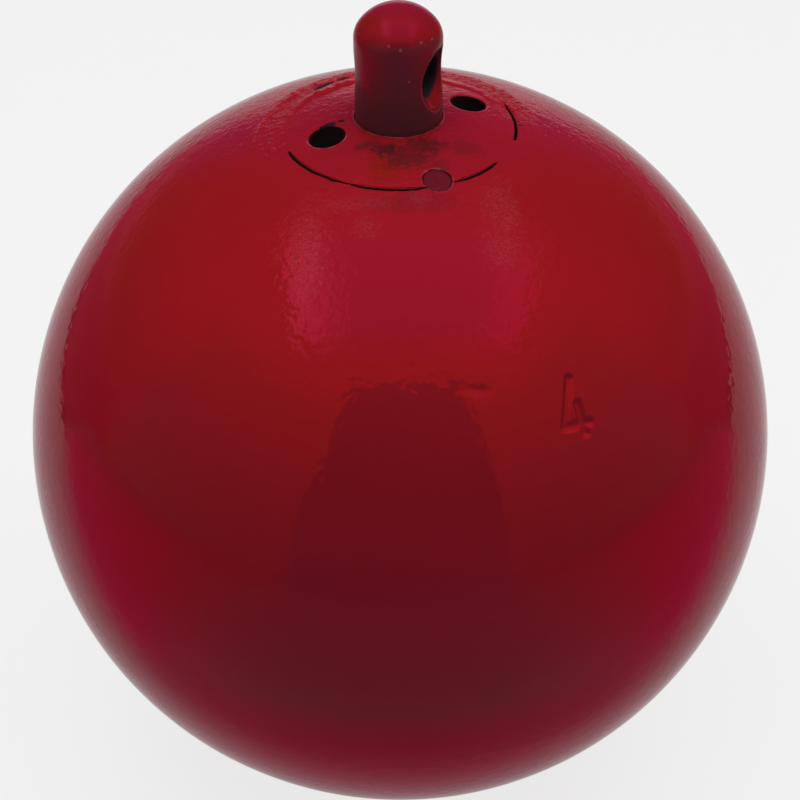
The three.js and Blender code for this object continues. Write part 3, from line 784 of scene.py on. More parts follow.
def make_group(name, build, inputs, outputs):
    """Shader node group with what a function gives for the place in millimetres and the inputs."""
    group = bpy.data.node_groups.new(name, "ShaderNodeTree")
    for label, value in inputs.items():
        kind = "NodeSocketFloat" if isinstance(value, float) else "NodeSocketColor"
        group.interface.new_socket(label, in_out="INPUT", socket_type=kind).default_value = value
    for label in outputs:
        kind = "NodeSocketColor" if label == "Colour" else "NodeSocketFloat"
        group.interface.new_socket(label, in_out="OUTPUT", socket_type=kind)
    given = group.nodes.new("NodeGroupInput").outputs
    place = own_place(group).vector("SCALE", {"Scale": 1 / MM})
    results = build(place, *(Value(given[label]) for label in inputs))
    set_inputs(group.nodes.new("NodeGroupOutput"), dict(zip(outputs, results)))


def use_group(tree, name, inputs):
    """Results of a group placed in a tree, by name."""
    node = add_node(tree, "Group", inputs, node_tree=bpy.data.node_groups[name])
    return {socket.name: Value(socket) for socket in node.outputs}


# Paint brushed round the cap and over the seam, as distances from the axis and as y, in millimetres
BRUSHED_RELIEF_BAND = (12.6, 13.6, 16.2, 18.0)
BRUSHED_DULL_BAND = (12.6, 13.6, 16.4, 18.0)
BRUSHED_RELIEF_BACK = (0.0, 6.0)
BRUSHED_RELIEF_GAIN = 3.0
BRUSHED_DULL_BACK = (2.0, 7.0)
# Distances from the axis at which the orange peel, the rubbing and the dullness are weakest and strongest
PEEL_REACH = (50.0, 34.0)
PEEL_EDGE_SHARE = 0.45
RUB_REACH = (44.0, 24.0)
DULL_REACH = (34.0, 20.0)
# Shares of the cells in which a speck is a raised nib and a pin hole
NIB_LIMIT = 0.72
PIN_HOLE_LIMIT = 0.8
SPECK_RADIUS = (0.055, 0.01)
NEAR_CAP_DULLNESS = 0.065
BRUSHED_DULLNESS = 0.16
SPREAD_DULLNESS = 0.035


def paint_relief(place, peel, rub, speck):
    """Height of the paint in millimetres: orange peel, rubbing near the cap, dust nibs and pin holes."""
    distance, _ = axis_distance(place)
    edge = distance + place.noise(0.09) * 16.0
    pattern = place.noise(0.85, 1.5) - 0.5 + (place.noise(0.11, 1.0) - 0.5) * 1.5
    height = pattern * edge.ramp(*PEEL_REACH, PEEL_EDGE_SHARE, 1.0) * peel
    brushed = distance.band(*BRUSHED_RELIEF_BAND)
    brushed = brushed * place.parts()[1].ramp(*BRUSHED_RELIEF_BACK, 0.0, BRUSHED_RELIEF_GAIN)
    strokes = place.noise(1.2, 2.5, 0.55) - 0.5 + (place.noise(2.4, 1.0) - 0.5) * 0.55
    height = height + strokes * (edge.ramp(*RUB_REACH) + brushed) * rub
    gap, drawn = place.parts("TexVoronoi", {"Scale": 0.2})[:2]
    raised, sunk, _ = drawn.parts()
    sign = raised.math("GREATER_THAN", NIB_LIMIT) - sunk.math("GREATER_THAN", PIN_HOLE_LIMIT)
    return [height + gap.ramp(*SPECK_RADIUS) * sign * speck]


def paint_tone(place, colour, drift, gloss):
    """Colour of the paint, which drifts a little, and its roughness."""
    distance, _ = axis_distance(place)
    value = (place.noise(0.06, 3.0) - 0.5) * drift + 1.0
    near_cap = (distance + place.noise(0.12) * 14.0).ramp(*DULL_REACH)
    behind = place.parts()[1] + place.noise(0.4) * 6.0
    brushed = distance.band(*BRUSHED_DULL_BAND) * behind.ramp(*BRUSHED_DULL_BACK)
    rough = gloss + (near_cap * NEAR_CAP_DULLNESS + brushed * BRUSHED_DULLNESS)
    rough = rough + place.noise(0.35, 3.0) * SPREAD_DULLNESS
    return colour.vector("SCALE", {"Scale": value}), rough


# Places on the ball, the cap and the stud: centre and half sizes in millimetres, and strength
ORANGE_PATCHES = (
    (-1.7, -10.9, 48.8, 1.7, 1.9, 3.0, 1.0),
    (-3.5, -1.2, 62.2, 1.5, 2.0, 1.6, 0.35),
)
SMUDGES = (
    (-1.45, -7.9, 49.3, 1.4, 1.2, 3.0, 1.6),
    (-3.5, -6.8, 49.4, 1.5, 0.8, 3.0, 1.1),
    (3.2, -6.9, 49.3, 2.4, 1.4, 3.0, 1.3),
    (7.9, -6.6, 49.0, 2.1, 1.3, 3.0, 0.6),
    (4.9, -10.3, 48.7, 1.2, 0.9, 3.0, 0.8),
    (1.0, -9.0, 49.1, 2.9, 1.9, 3.0, 1.2),
    (2.3, -16.6, 47.1, 5.5, 1.9, 3.0, 0.5),
)
DUST = (
    (-10.5, -21.5, 43.8, 1.7, 5.5, 4.5, 0.9),
    (11.9, -15.5, 46.0, 2.0, 3.4, 3.0, 1.0),
    (11.6, -20.5, 44.0, 2.2, 2.6, 3.0, 0.7),
    (-3.8, -19.5, 45.8, 1.3, 1.2, 3.0, 0.8),
    (-5.0, -16.0, 47.0, 3.6, 0.9, 3.0, 0.6),
    (2.4, -15.6, 47.4, 1.3, 0.8, 3.0, 0.7),
)
# Painted highlights: pale dots on the stud
NIB_HIGHLIGHTS = (
    (-1.1, -5.05, 61.35, 0.14, 0.5, 0.14, 1.0),
    (0.25, -5.2, 60.95, 0.15, 0.5, 0.17, 1.0),
    (2.65, -4.4, 61.45, 0.13, 0.5, 0.13, 1.0),
    (3.95, -3.4, 61.35, 0.13, 0.5, 0.13, 1.0),
    (1.25, -5.2, 56.9, 0.12, 0.5, 0.14, 1.0),
)
CHIPS = (
    (-8.3, -1.5, 49.3, 0.85, 0.42, 3.0, 1.0),
    (-6.95, -1.15, 49.4, 0.42, 0.34, 3.0, 1.0),
    (-9.2, -1.9, 49.1, 0.5, 0.35, 3.0, 1.0),
    (14.6, 1.6, 47.8, 0.22, 0.2, 3.0, 1.0),
    (14.9, 0.7, 47.7, 0.22, 0.2, 3.0, 1.0),
)
# How far painted shade fills the openings at the back, as azimuth in radians and as distance from the seam
OPENING_FADE = 0.035
OPENING_REACH = (0.54, 0.46)
# Side of the stud that the film lies on, and its border as a share of the way to that side
FILM_SIDE = (0.26, -0.97, 0)
FILM_BORDER = (0.3, 0.72)
FILM_THICKNESS = (0.28, 0.67)
# Soft borders as heights: of the film's foot and top, of its thickening, and of the eye's flare, bare below
# and in painted shade above
FILM_FOOT = (56.3, 54.6)
FILM_TOP = (61.5, 61.1)
FILM_THIN_TO_THICK = (60.0, 50.5)
FLARE_BARE = (56.6, 55.6)
FLARE_SHADED = (55.4, 56.8)
FLARE_SHADE_SHARE = 0.8
# Soft borders as distances from the axis: painted shade in holes near the cap, and in the ground outside the
# cap's flat
NEAR_CAP = (19.0, 17.0)
BESIDE_SEAM = (12.8, 13.4)
RING_SHARE = 0.35
FOOT_RING_SHARE = 0.3
PIN_HIGHLIGHT_SHARE = 0.7
FOOT_HIGHLIGHT_SHARE = 0.45
WORN_SHARE = 0.8
HIGHLIGHT_SHARE = 0.6
DUST_SHARE = 0.26


def patches_mask(place, patches, ragged, edge):
    """Union of ellipsoids, each 1 inside times its strength, with a soft border moved by a noise."""
    masks = []
    for *centre, half_x, half_y, half_z, strength in patches:
        away = place.away_from(centre).vector("MULTIPLY", {1: (1 / half_x, 1 / half_y, 1 / half_z)})
        masks.append((away.length() + ragged).ramp(1 + edge, 1 - edge) * strength)
    return largest(*masks)


def eye_distance(place):
    """Distance from the eye's axis in millimetres."""
    offset = place.away_from((0, 0, (ball_radius + EYE_HEIGHT) / MM))
    return offset.vector("CROSS_PRODUCT", {1: (math.cos(EYE_AZIMUTH), math.sin(EYE_AZIMUTH), 0)}).length()


def grime_and_shade(place, smudges_and_highlights, film_and_shade_share):
    """Shares of dirt and painted shade, shade in holes, worn orange, film, and painted highlights and dust.

    Painted shade darkens what lies below the ball's surface near the cap, the seam's last two
    openings and the eye's bore. Dirt lies round the lock pin and the stud's foot, and in smudges and
    chips. The film lies on the stud, thicker towards its foot, and leaves the flare below the eye bare,
    and painted shade covers the flare above the eye. Painted highlights lie at the edges of the holes,
    of the pin and of the stud's foot, and as dots on the stud. Pale dust lies on the ball near the cap.
    """
    surface, seam, top = paint_radius / MM, seam_radius / MM, ball_radius / MM
    hole, pin, stud, eye = (r / MM for r in (SPANNER_HOLE_RADIUS, PIN_HOLE_RADIUS, stud_radius, EYE_RADIUS))
    depth = place.length()
    distance, height = axis_distance(place)
    x, y, _ = place.parts()
    fine = place.noise(1.5, 4.0, 0.6) - 0.5
    ragged = fine * 3.2

    # Painted shade in holes and openings
    near = distance.ramp(*NEAR_CAP)
    turn = y.math("ARCTAN2", x)
    openings = []
    for start, end, _ in SEAM_OPENINGS[-2:]:
        start, end = math.radians(start), math.radians(end)
        openings.append(turn.band(start, start + OPENING_FADE, end - OPENING_FADE, end))
    opening = largest(*openings) * (distance - seam).math("ABSOLUTE").ramp(*OPENING_REACH)
    # Painted shade: darker below the paint's surface near the cap and in the openings at the back
    under = largest(depth.ramp(surface - 0.06, surface - 0.16) * near, opening)
    in_seam = depth.ramp(surface - 0.06, surface - 0.4) * distance.ramp(*BESIDE_SEAM)
    # Painted shade, darker still deep in the holes and in the seam
    deep = largest(largest(depth.ramp(surface - 0.3, surface - 2.2), in_seam) * near, opening)
    from_eye = eye_distance(place)
    # Painted shade inside the eye's bore
    bore = from_eye.ramp(eye + 0.22, eye + 0.06) * depth.ramp(top + 0.5, top + 1.5)

    # Dirt on the surface, joined with the painted shade
    mottle = place.noise(1.0, 5.0, 0.65) * 0.55 + 0.25
    smudge = patches_mask(place, SMUDGES, ragged, 0.5) * mottle
    chips = patches_mask(place, CHIPS, fine * 1.6, 0.15)
    from_pin, _ = axis_distance(place.away_from((pin_place.x / MM, pin_place.y / MM, 0)))
    from_pin = from_pin + fine * 0.9
    ring = from_pin.band(pin - 0.4, pin - 0.15, pin, pin + 0.2) * RING_SHARE
    foot_ring = (distance + fine * 1.2).ramp(stud + 0.85, stud + 0.15)
    foot_ring = foot_ring * height.ramp(top + 0.5, top - 0.1, 0.0, FOOT_RING_SHARE)
    dirt_and_shade = largest(under, bore, largest(smudge, chips, ring, foot_ring) * smudges_and_highlights)
    worn = patches_mask(place, ORANGE_PATCHES, ragged, 0.5) * WORN_SHARE

    # Film on the stud, and painted shade on the eye's upper flare
    side = tuple(part / stud for part in FILM_SIDE)
    facing = place.vector("DOT_PRODUCT", {1: side}, "Value") + fine * 0.3
    front = largest(facing.ramp(*FILM_BORDER), height.ramp(*FILM_FOOT)) * height.ramp(*FILM_TOP)
    thick = height.ramp(*FILM_THIN_TO_THICK, *FILM_THICKNESS) + fine * 0.25
    flare = from_eye.ramp(eye + 1.7, eye + 1.4) * distance.ramp(stud - 0.07, stud - 0.17)
    bare = 1.0 - flare * height.ramp(*FLARE_BARE)
    # Painted shade on the upper half of the eye's flare, in the film's colour
    flare_shade = flare * height.ramp(*FLARE_SHADED) * FLARE_SHADE_SHARE
    film_and_shade = largest(front * bare * thick, flare_shade) * film_and_shade_share

    # Painted highlights on the edges and as dots, and pale dust
    edge_highlights = []
    for azimuth in (SPANNER_HOLE_AZIMUTH, SPANNER_HOLE_AZIMUTH + math.pi):
        centre = SPANNER_CIRCLE_RADIUS / MM * direction(azimuth, math.pi / 2)
        away = place.away_from((centre[0], centre[1], 0))
        from_hole, _ = axis_distance(away)
        edge = from_hole.band(hole + 0.1, hole + 0.16, hole + 0.24, hole + 0.32)
        edge_highlights.append(edge * away.parts()[1].ramp(0.3, -0.9))
    edge_highlights.append(from_pin.band(pin + 0.01, pin + 0.07, pin + 0.15, pin + 0.23) * PIN_HIGHLIGHT_SHARE)
    foot_highlight = distance.band(stud + 0.07, stud + 0.11, stud + 0.2, stud + 0.45)
    edge_highlights.append(foot_highlight * height.ramp(top + 0.3, top + 0.1) * FOOT_HIGHLIGHT_SHARE)
    # Painted highlights along the lips, broken up by noise, and as dots on the stud
    lip = largest(*edge_highlights) * fine.ramp(-0.1, 0.12)
    lip = largest(lip, patches_mask(place, NIB_HIGHLIGHTS, 0.0, 0.3)) * HIGHLIGHT_SHARE * smudges_and_highlights
    dust = patches_mask(place, DUST, ragged, 0.6) * place.noise(3.4, 4.0, 0.75).ramp(0.4, 0.75)
    return dirt_and_shade, largest(deep, bore), worn, film_and_shade, largest(lip, dust * DUST_SHARE)


def metal_grain(place, colour, rough, lines):
    """Fine turned lines and stains on a bare metal: its colour, its roughness and its height."""
    distance, height = axis_distance(place)
    turned_lines = distance.to_node("CombineXYZ", {1: height}).noise(9.0, 2.0, 0.7)
    cloud = place.noise(0.5, 4.0)
    value = turned_lines * 0.25 + cloud * 0.5 + 0.62
    return colour.vector("SCALE", {"Scale": value}), rough + cloud * 0.15, turned_lines * lines


PAINT_COLOUR = (0.42, 0.0125, 0.0205, 1)
PAINT_GLOW = (1.0, 0.3, 0.5, 1)
PAINT_METAL = 0.18
PAINT_IOR = 1.2
DIRT_ROUGHNESS = 0.4
# Colour of dirt and of painted shade below the surface
GRIME_AND_SHADE_COLOUR = (0.03, 0.013, 0.014, 1)
# Painted shade deep in holes and in the eye's bore
DEEP_SHADE_COLOUR = (0.03, 0.026, 0.03, 1)
# Colour of the film, and of the painted shade on the eye's upper flare
FILM_AND_SHADE_COLOUR = (0.06, 0.052, 0.056, 1)
STUD_COLOUR = (0.35, 0.012, 0.024, 1)
PIN_COLOUR = (0.17, 0.011, 0.02, 1)
# Pale colour of the painted highlights and of the dust
HIGHLIGHT_AND_DUST_COLOUR = (0.5, 0.2, 0.19, 1)
WORN_COLOUR = (0.34, 0.018, 0.006, 1)


def make_material(name, make_inputs):
    """Material whose main shader takes what a function of its tree gives, with a height as its bump."""
    material = bpy.data.materials.new(name)
    material.use_nodes = True
    tree = material.node_tree
    inputs = make_inputs(tree)
    bump = add_node(tree, "Bump", {"Height": inputs.pop("Height"), "Distance": MM, "Strength": 1.0})
    set_inputs(tree.nodes["Principled BSDF"], {**inputs, "Normal": Value(bump.outputs[0])})
    return material


def make_red_paint(name, gloss=0.03, peel=0.08, rub=0.055, smudges_and_highlights=0.0, film_and_shade=0.0, colour=PAINT_COLOUR):
    """Deep red gloss paint whose mirror colour is red too, as in a lacquer with fine metal in it."""
    def inputs(tree):
        tone = use_group(tree, "paint_tone", {"Colour": colour, "Gloss": gloss})
        dirt_and_shade = use_group(tree, "grime_and_shade", {"Smudges_And_Highlights": smudges_and_highlights, "Film_And_Shade": film_and_shade})
        relief = use_group(tree, "paint_relief", {"Peel": peel, "Rub": rub})
        mixed = dirt_and_shade["Worn"].blend(tone["Colour"], WORN_COLOUR)
        mixed = dirt_and_shade["Film_And_Shade"].blend(mixed, FILM_AND_SHADE_COLOUR)
        # Painted shade in recesses and in the eye's bore is mixed in with the dirt
        mixed = dirt_and_shade["Dirt"].blend(mixed, dirt_and_shade["Deep"].blend(GRIME_AND_SHADE_COLOUR, DEEP_SHADE_COLOUR))
        rough = tone["Roughness"] + (dirt_and_shade["Dirt"] + dirt_and_shade["Film_And_Shade"]) * DIRT_ROUGHNESS
        # Painted highlights and pale dust
        return {"Base Color": dirt_and_shade["Highlight_And_Dust"].blend(mixed, HIGHLIGHT_AND_DUST_COLOUR), "Roughness": rough,
                "Metallic": (1.0 - dirt_and_shade["Deep"]) * PAINT_METAL, "IOR": PAINT_IOR,
                "Specular Tint": PAINT_GLOW, "Height": relief["Height"]}
    return make_material(name, inputs)


def make_metal(name, colour, rough, lines=0.002):
    """Bare metal with turned lines."""
    def inputs(tree):
        grain = use_group(tree, "metal_grain", {"Colour": colour, "Rough": rough, "Lines": lines})
        return {"Base Color": grain["Colour"], "Roughness": grain["Roughness"], "Metallic": 1.0,
                "Height": grain["Height"]}
    return make_material(name, inputs)


# Camera, found from the ball's outline and the seam in the photograph
CAMERA_DISTANCE_SHARE = 5.0
CAMERA_ELEVATION = math.radians(39.21)
CAMERA_TILT = math.radians(0.986)
CAMERA_ROLL = math.radians(-0.28)
CAMERA_LENS = 81.08
CAMERA_CLIP_START = 0.01


def make_camera():
    """Camera that looks down at the ball, tilted and rolled a little off its centre."""
    camera = bpy.data.objects.new("camera", bpy.data.cameras.new("camera"))
    bpy.context.scene.collection.objects.link(camera)
    camera.data.lens = CAMERA_LENS
    camera.data.clip_start = CAMERA_CLIP_START
    reach = CAMERA_DISTANCE_SHARE * ball_radius
    camera.location = (0, -reach * math.cos(CAMERA_ELEVATION), reach * math.sin(CAMERA_ELEVATION))
    pitch = math.pi / 2 - CAMERA_ELEVATION + CAMERA_TILT
    turn = Euler((pitch, 0, 0)).to_matrix() @ Matrix.Rotation(CAMERA_ROLL, 3, "Z")
    camera.rotation_euler = turn.to_euler()
    bpy.context.scene.camera = camera


# Light: one large softbox overhead, a pale floor and room, and cards that only the gloss shows, in metres
CEILING_HEIGHT = 0.6
CEILING_REACH = 1
FLOOR_REACH = 2
SOFTBOX_LOW = (-0.34, -0.35)
SOFTBOX_HIGH = (0.415, 0.3)
SOFTBOX_EDGE_LEVEL = 2.62
SOFTBOX_MIDDLE_LEVEL = 1.12
SOFTBOX_EDGE_SHARE = 0.34
LAMP_PLACE = -0.03
FILL_LEVEL = 0.06
BACKGROUND_LEVEL = 1.0
WHITE = (1, 1, 1, 1)
FLOOR_COLOUR = (0.88, 0.88, 0.88, 1)
FLOOR_DARKER = 0.97
FLOOR_WHITE_SHARE = 0.42
FLOOR_WHITE_SEEN = 0.8
CEILING_GAP = 0.02
WALL_COLUMNS = 97
WALL_DISTANCE = 0.5
WALL_FOOT = 0.17
WALL_FOOT_AZIMUTH = math.radians(90)
WALL_FOOT_HALF_WIDTH = math.radians(24)
ROOM_FRONT_HIGH_COLOUR = (1.0, 0.5, 0.25, 1)
ROOM_FRONT_COLOUR = (0.6, 0.5, 0.22, 1)
ROOM_FRONT_LOW_COLOUR = (0.4, 0.5, 0.52, 1)
ROOM_MIDDLE_COLOUR = (0.95, 0.25, 0.22, 1)
ROOM_MIDDLE_LOW_COLOUR = (0.7, 0.2, 0.26, 1)
ROOM_SIDE_COLOUR = (0.45, 0.12, 0.03, 1)
ROOM_SIDE_LOW_COLOUR = (0.62, 0.1, 0.24, 1)
ROOM_BACK_COLOUR = (0.4, 0.07, 0.4, 1)
ROOM_BACK_LOW_COLOUR = (0.72, 0.27, 0.42, 1)
TABLE_EDGE_COLOUR = (0.3, 0.0, 0.08, 1)
FRONT_CARD_COLOUR = (0.02, 0.2, 0.31, 1)
PANEL_MIDDLE_COLOUR = (0.95, 0.38, 1.3, 1)
PANEL_FRONT_COLOUR = (1.0, 0.4, 0.6, 1)
PANEL_LEFT_COLOUR = (2.0, 1.4, 2.6, 1)
PANEL_RIGHT_COLOUR = (1.65, 0.5, 1.7, 1)
PANEL_SIDE_BORDER = (0.17, 0.33)
PANEL_FRONT_BORDER = (-0.2, -0.33)
PANEL_BACK_BORDER = (-0.03, 0.28)
MAT_LOW = (-0.7, -0.7)
MAT_HIGH = (0.7, 0.06)
# Painted shadow on the floor before the ball
MAT_SHADOW_COLOUR = (0.16, 0.16, 0.16, 1)
# The near and side floor colours below are a painted red bounce of the ball's light, seen in the gloss
FLOOR_NEAR_BOUNCE_COLOUR = (0.66, 0.22, 0.42, 1)
FLOOR_FRONT_COLOUR = (0.28, 0.85, 1.0, 1)
FLOOR_SIDE_BOUNCE_COLOUR = (1.05, 0.12, 0.48, 1)
FLOOR_FAR_FRONT_COLOUR = (0.17, 0.43, 0.72, 1)
FLOOR_FAR_SIDE_COLOUR = (0.48, 0.26, 0.4, 1)
# Soft borders of the room's colours, as heights, as distances from the middle plane and as y
ROOM_FRONT_LOW_BORDER = (0.12, 0.36)
ROOM_FRONT_HIGH_BORDER = (0.36, 0.58)
ROOM_MIDDLE_BORDER = (0.1, 0.33)
ROOM_BACK_BORDER = (0.02, 0.1)
ROOM_FOOT_BORDER = (0.07, 0.01)
ROOM_ASIDE_BORDER = (0.2, 0.36)
ROOM_FOOT_ASIDE_BORDER = (0.1, 0.19)
ROOM_FRONT_TO_MIDDLE = (-0.12, 0.06)
ROOM_MIDDLE_TO_BACK = (0.05, 0.38)
ROOM_FOOT_START = (0.0, 0.05)
# Soft borders of the front mat, as distances from the axis, as y and as cosines from straight ahead
MAT_DARK_REACH = (0.07, 0.19)
MAT_DARK_START = (0.0, -0.09)
MAT_NEAR_BORDER = (0.095, 0.06)
MAT_FAR_BORDER = (0.14, 0.5)
MAT_FRONT_BORDER = (0.34, 0.985)
MAT_FAR_FRONT_BORDER = (0.8, 0.9)
MAT_SIDE_SLOPE = 0.55
MAT_SIDE_BORDER = (-0.045, -0.09)
# Dark card in front: heights, and azimuths of its left and right edges
FRONT_CARD_HEIGHTS = (-0.05, 0.02, 0.14, 0.24, 0.36, 0.54)
FRONT_CARD_LEFT = (-120, -119.3, -118.7, -113.4, -113.3, -111.2)
FRONT_CARD_RIGHT = (-62, -61.9, -61.5, -61.2, -63.3, -64.4)
FRONT_CARD_TOP = 0.573
FRONT_CARD_TOP_BOW = 0.035
FRONT_CARD_DISTANCE = 0.44
FRONT_CARD_ROWS = 40
FRONT_CARD_COLUMNS = 25
FRONT_CARD_FADE = (0.2, 0.0)
# Table that the ball stands on: its borders as x and y, its dark edge, and the heights of the cards on it
TABLE_FRONT = 0.03
TABLE_FADE = 0.05
TABLE_BACK = 1.5
TABLE_LEFT = ((-0.195, TABLE_FRONT), (-0.25, 0.16), (-0.33, 0.33), (-0.46, 0.54), (-1.1, TABLE_BACK))
TABLE_RIGHT = ((0.2, TABLE_FRONT), (0.3, 0.12), (0.38, 0.3), (0.5, 0.7), (0.9, TABLE_BACK))
TABLE_EDGE_WIDTH = 1.06
BESIDE_TABLE_LIFT = 0.0005
TABLE_EDGE_LIFT = 0.0008
MAT_LIFT = 0.001


def new_tree(owner):
    """Empty node tree of a material or a world."""
    owner.use_nodes = True
    owner.node_tree.nodes.clear()
    return owner.node_tree


def shader(tree, kind, inputs=None):
    """Result of a shader node."""
    return Value(add_node(tree, kind, inputs).outputs[0])


def seen_rays(tree):
    """1 for the camera's own rays and for those in gloss and glass."""
    path = add_node(tree, "LightPath").outputs
    return largest(*(Value(path[kind]) for kind in ("Is Camera Ray", "Is Glossy Ray", "Is Transmission Ray")))


def make_floor_material():
    """Pale matt floor with faint mottling, whitened where it is seen, so that its shadows stay."""
    material = bpy.data.materials.new("pale_floor")
    tree = new_tree(material)
    darker = tuple(FLOOR_DARKER * c for c in FLOOR_COLOUR[:3]) + (1,)
    share = own_place(tree).vector("SCALE", {"Scale": 1 / MM}).noise(0.02, 3.0)
    matt = shader(tree, "BsdfDiffuse", {"Color": share.blend(FLOOR_COLOUR, darker)})
    white = shader(tree, "Emission", {"Color": WHITE, "Strength": 1.0})
    camera = Value(add_node(tree, "LightPath").outputs["Is Camera Ray"])
    whitened = largest(seen_rays(tree) * FLOOR_WHITE_SHARE, camera * FLOOR_WHITE_SEEN)
    add_node(tree, "OutputMaterial", {0: whitened.mix(matt, white)})
    return material


def make_light():
    """Softbox in three parts, brighter at its two sides, and the world's fill.

    The power of each part is its brightness times its area times pi.
    """
    x0, x1 = SOFTBOX_LOW[0], SOFTBOX_HIGH[0]
    edge = (x1 - x0) * SOFTBOX_EDGE_SHARE
    for name, start, end, level in (
        ("softbox_left", x0, x0 + edge, SOFTBOX_EDGE_LEVEL),
        ("softbox_middle", x0 + edge, x1 - edge, SOFTBOX_MIDDLE_LEVEL),
        ("softbox_right", x1 - edge, x1, SOFTBOX_EDGE_LEVEL),
    ):
        lamp = bpy.data.lights.new(name, "AREA")
        lamp.shape = "RECTANGLE"
        lamp.size = end - start
        lamp.size_y = SOFTBOX_HIGH[1] - SOFTBOX_LOW[1]
        lamp.energy = level * lamp.size * lamp.size_y * math.pi
        part = bpy.data.objects.new(name, lamp)
        part.location = ((start + end) / 2, LAMP_PLACE, CEILING_HEIGHT)
        part.visible_glossy = False
        bpy.context.scene.collection.objects.link(part)
    world = bpy.data.worlds.new("room")
    tree = new_tree(world)
    fill, pale = (shader(tree, "Background", {"Color": WHITE, "Strength": level})
                  for level in (FILL_LEVEL, BACKGROUND_LEVEL))
    add_node(tree, "OutputWorld", {0: seen_rays(tree).mix(fill, pale)})
    bpy.context.scene.world = world


def gloss_card(card, material):
    """A card of the set that lights nothing and shows only in the gloss of the paint."""
    card.data.materials.append(material)
    card.visible_camera = False
    card.visible_diffuse = False
    card.visible_shadow = False
    card.visible_transmission = False


def glowing_material(name, make_colour, fades=False):
    """Material that only glows, in a colour that a function of the place gives.

    Where it fades, it turns clear towards the table's front end.
    """
    material = bpy.data.materials.new(name)
    tree = new_tree(material)
    shown = shader(tree, "Emission", {"Color": make_colour(own_place(tree)), "Strength": 1.0})
    if fades:
        share = own_place(tree).parts()[1].ramp(TABLE_FRONT, TABLE_FRONT + TABLE_FADE)
        shown = share.mix(shader(tree, "BsdfTransparent"), shown)
    add_node(tree, "OutputMaterial", {0: shown})
    return material


def room_colour(place):
    """The room by place: darker low in front, a plain red at the sides and a deep one behind."""
    x, y, z = place.parts()
    aside = x.math("ABSOLUTE")
    front = z.ramp(*ROOM_FRONT_LOW_BORDER).blend(ROOM_FRONT_LOW_COLOUR, ROOM_FRONT_COLOUR)
    front = z.ramp(*ROOM_FRONT_HIGH_BORDER).blend(front, ROOM_FRONT_HIGH_COLOUR)
    middle = z.ramp(*ROOM_MIDDLE_BORDER).blend(ROOM_MIDDLE_LOW_COLOUR, ROOM_MIDDLE_COLOUR)
    back = aside.ramp(*ROOM_ASIDE_BORDER).blend(ROOM_BACK_COLOUR, ROOM_SIDE_COLOUR)
    back = z.ramp(*ROOM_BACK_BORDER).blend(ROOM_BACK_LOW_COLOUR, back)
    colour = y.ramp(*ROOM_FRONT_TO_MIDDLE).blend(front, middle)
    colour = y.ramp(*ROOM_MIDDLE_TO_BACK).blend(colour, back)
    foot = z.ramp(*ROOM_FOOT_BORDER) * aside.ramp(*ROOM_FOOT_ASIDE_BORDER) * y.ramp(*ROOM_FOOT_START)
    return foot.blend(colour, ROOM_SIDE_LOW_COLOUR)


def front_card_colour(place):
    """Dark card, which turns into the floor's own colour towards its foot."""
    return place.parts()[2].ramp(*FRONT_CARD_FADE).blend(FRONT_CARD_COLOUR, FLOOR_FAR_FRONT_COLOUR)


def panel_colour(place):
    """Softbox face: paler towards its two sides, and down to the room's own level at its back edge."""
    x, y, _ = place.parts()
    aside = x - (SOFTBOX_LOW[0] + SOFTBOX_HIGH[0]) / 2
    colour = (aside * -1.0).ramp(*PANEL_SIDE_BORDER).blend(PANEL_MIDDLE_COLOUR, PANEL_LEFT_COLOUR)
    colour = aside.ramp(*PANEL_SIDE_BORDER).blend(colour, PANEL_RIGHT_COLOUR)
    colour = y.ramp(*PANEL_FRONT_BORDER).blend(colour, PANEL_FRONT_COLOUR)
    return y.ramp(*PANEL_BACK_BORDER).blend(colour, room_colour(place))


def upright_card(name, azimuth, low, high, distance):
    """Card on an arc round the ball: rows of azimuth, whose heights go evenly from low to high."""
    height = low + np.linspace(0, 1, azimuth.shape[0])[:, None] * (high - low)
    index = np.arange(azimuth.size).reshape(azimuth.shape)
    quads = np.stack([index[:-1, :-1], index[:-1, 1:], index[1:, 1:], index[1:, :-1]], axis=-1)
    return piece_from_faces(name, around(distance, azimuth, height), [quads.reshape(-1, 4)])


def flat_card(name, corners, height):
    """Flat card with its corners in order."""
    points = np.array([(x, y, height) for x, y in corners])
    return piece_from_faces(name, points, [np.arange(len(corners))[None]])


def rectangle(low, high):
    """Corners of a rectangle in order, from its lowest and its highest one."""
    return [low, (high[0], low[1]), high, (low[0], high[1])]


def make_room(low):
    """Floor, and the room for the gloss: a wall all round, a ceiling and the softbox's face."""
    floor = flat_card("floor", rectangle((-FLOOR_REACH, -FLOOR_REACH), (FLOOR_REACH, FLOOR_REACH)), low)
    floor.data.materials.append(make_floor_material())
    room = glowing_material("room_glow", room_colour)
    panel = glowing_material("softbox_face", panel_colour)
    turn = np.radians(np.linspace(-180, 180, WALL_COLUMNS))
    foot = low + (WALL_FOOT - low) * bell(turn, WALL_FOOT_AZIMUTH, WALL_FOOT_HALF_WIDTH)
    top = CEILING_HEIGHT + 2 * CEILING_GAP
    gloss_card(upright_card("wall", np.stack([turn, turn]), foot, top, WALL_DISTANCE), room)
    ceiling = rectangle((-CEILING_REACH, -CEILING_REACH), (CEILING_REACH, CEILING_REACH))
    gloss_card(flat_card("ceiling", ceiling, CEILING_HEIGHT + CEILING_GAP), room)
    gloss_card(flat_card("softbox_face", rectangle(SOFTBOX_LOW, SOFTBOX_HIGH), CEILING_HEIGHT), panel)


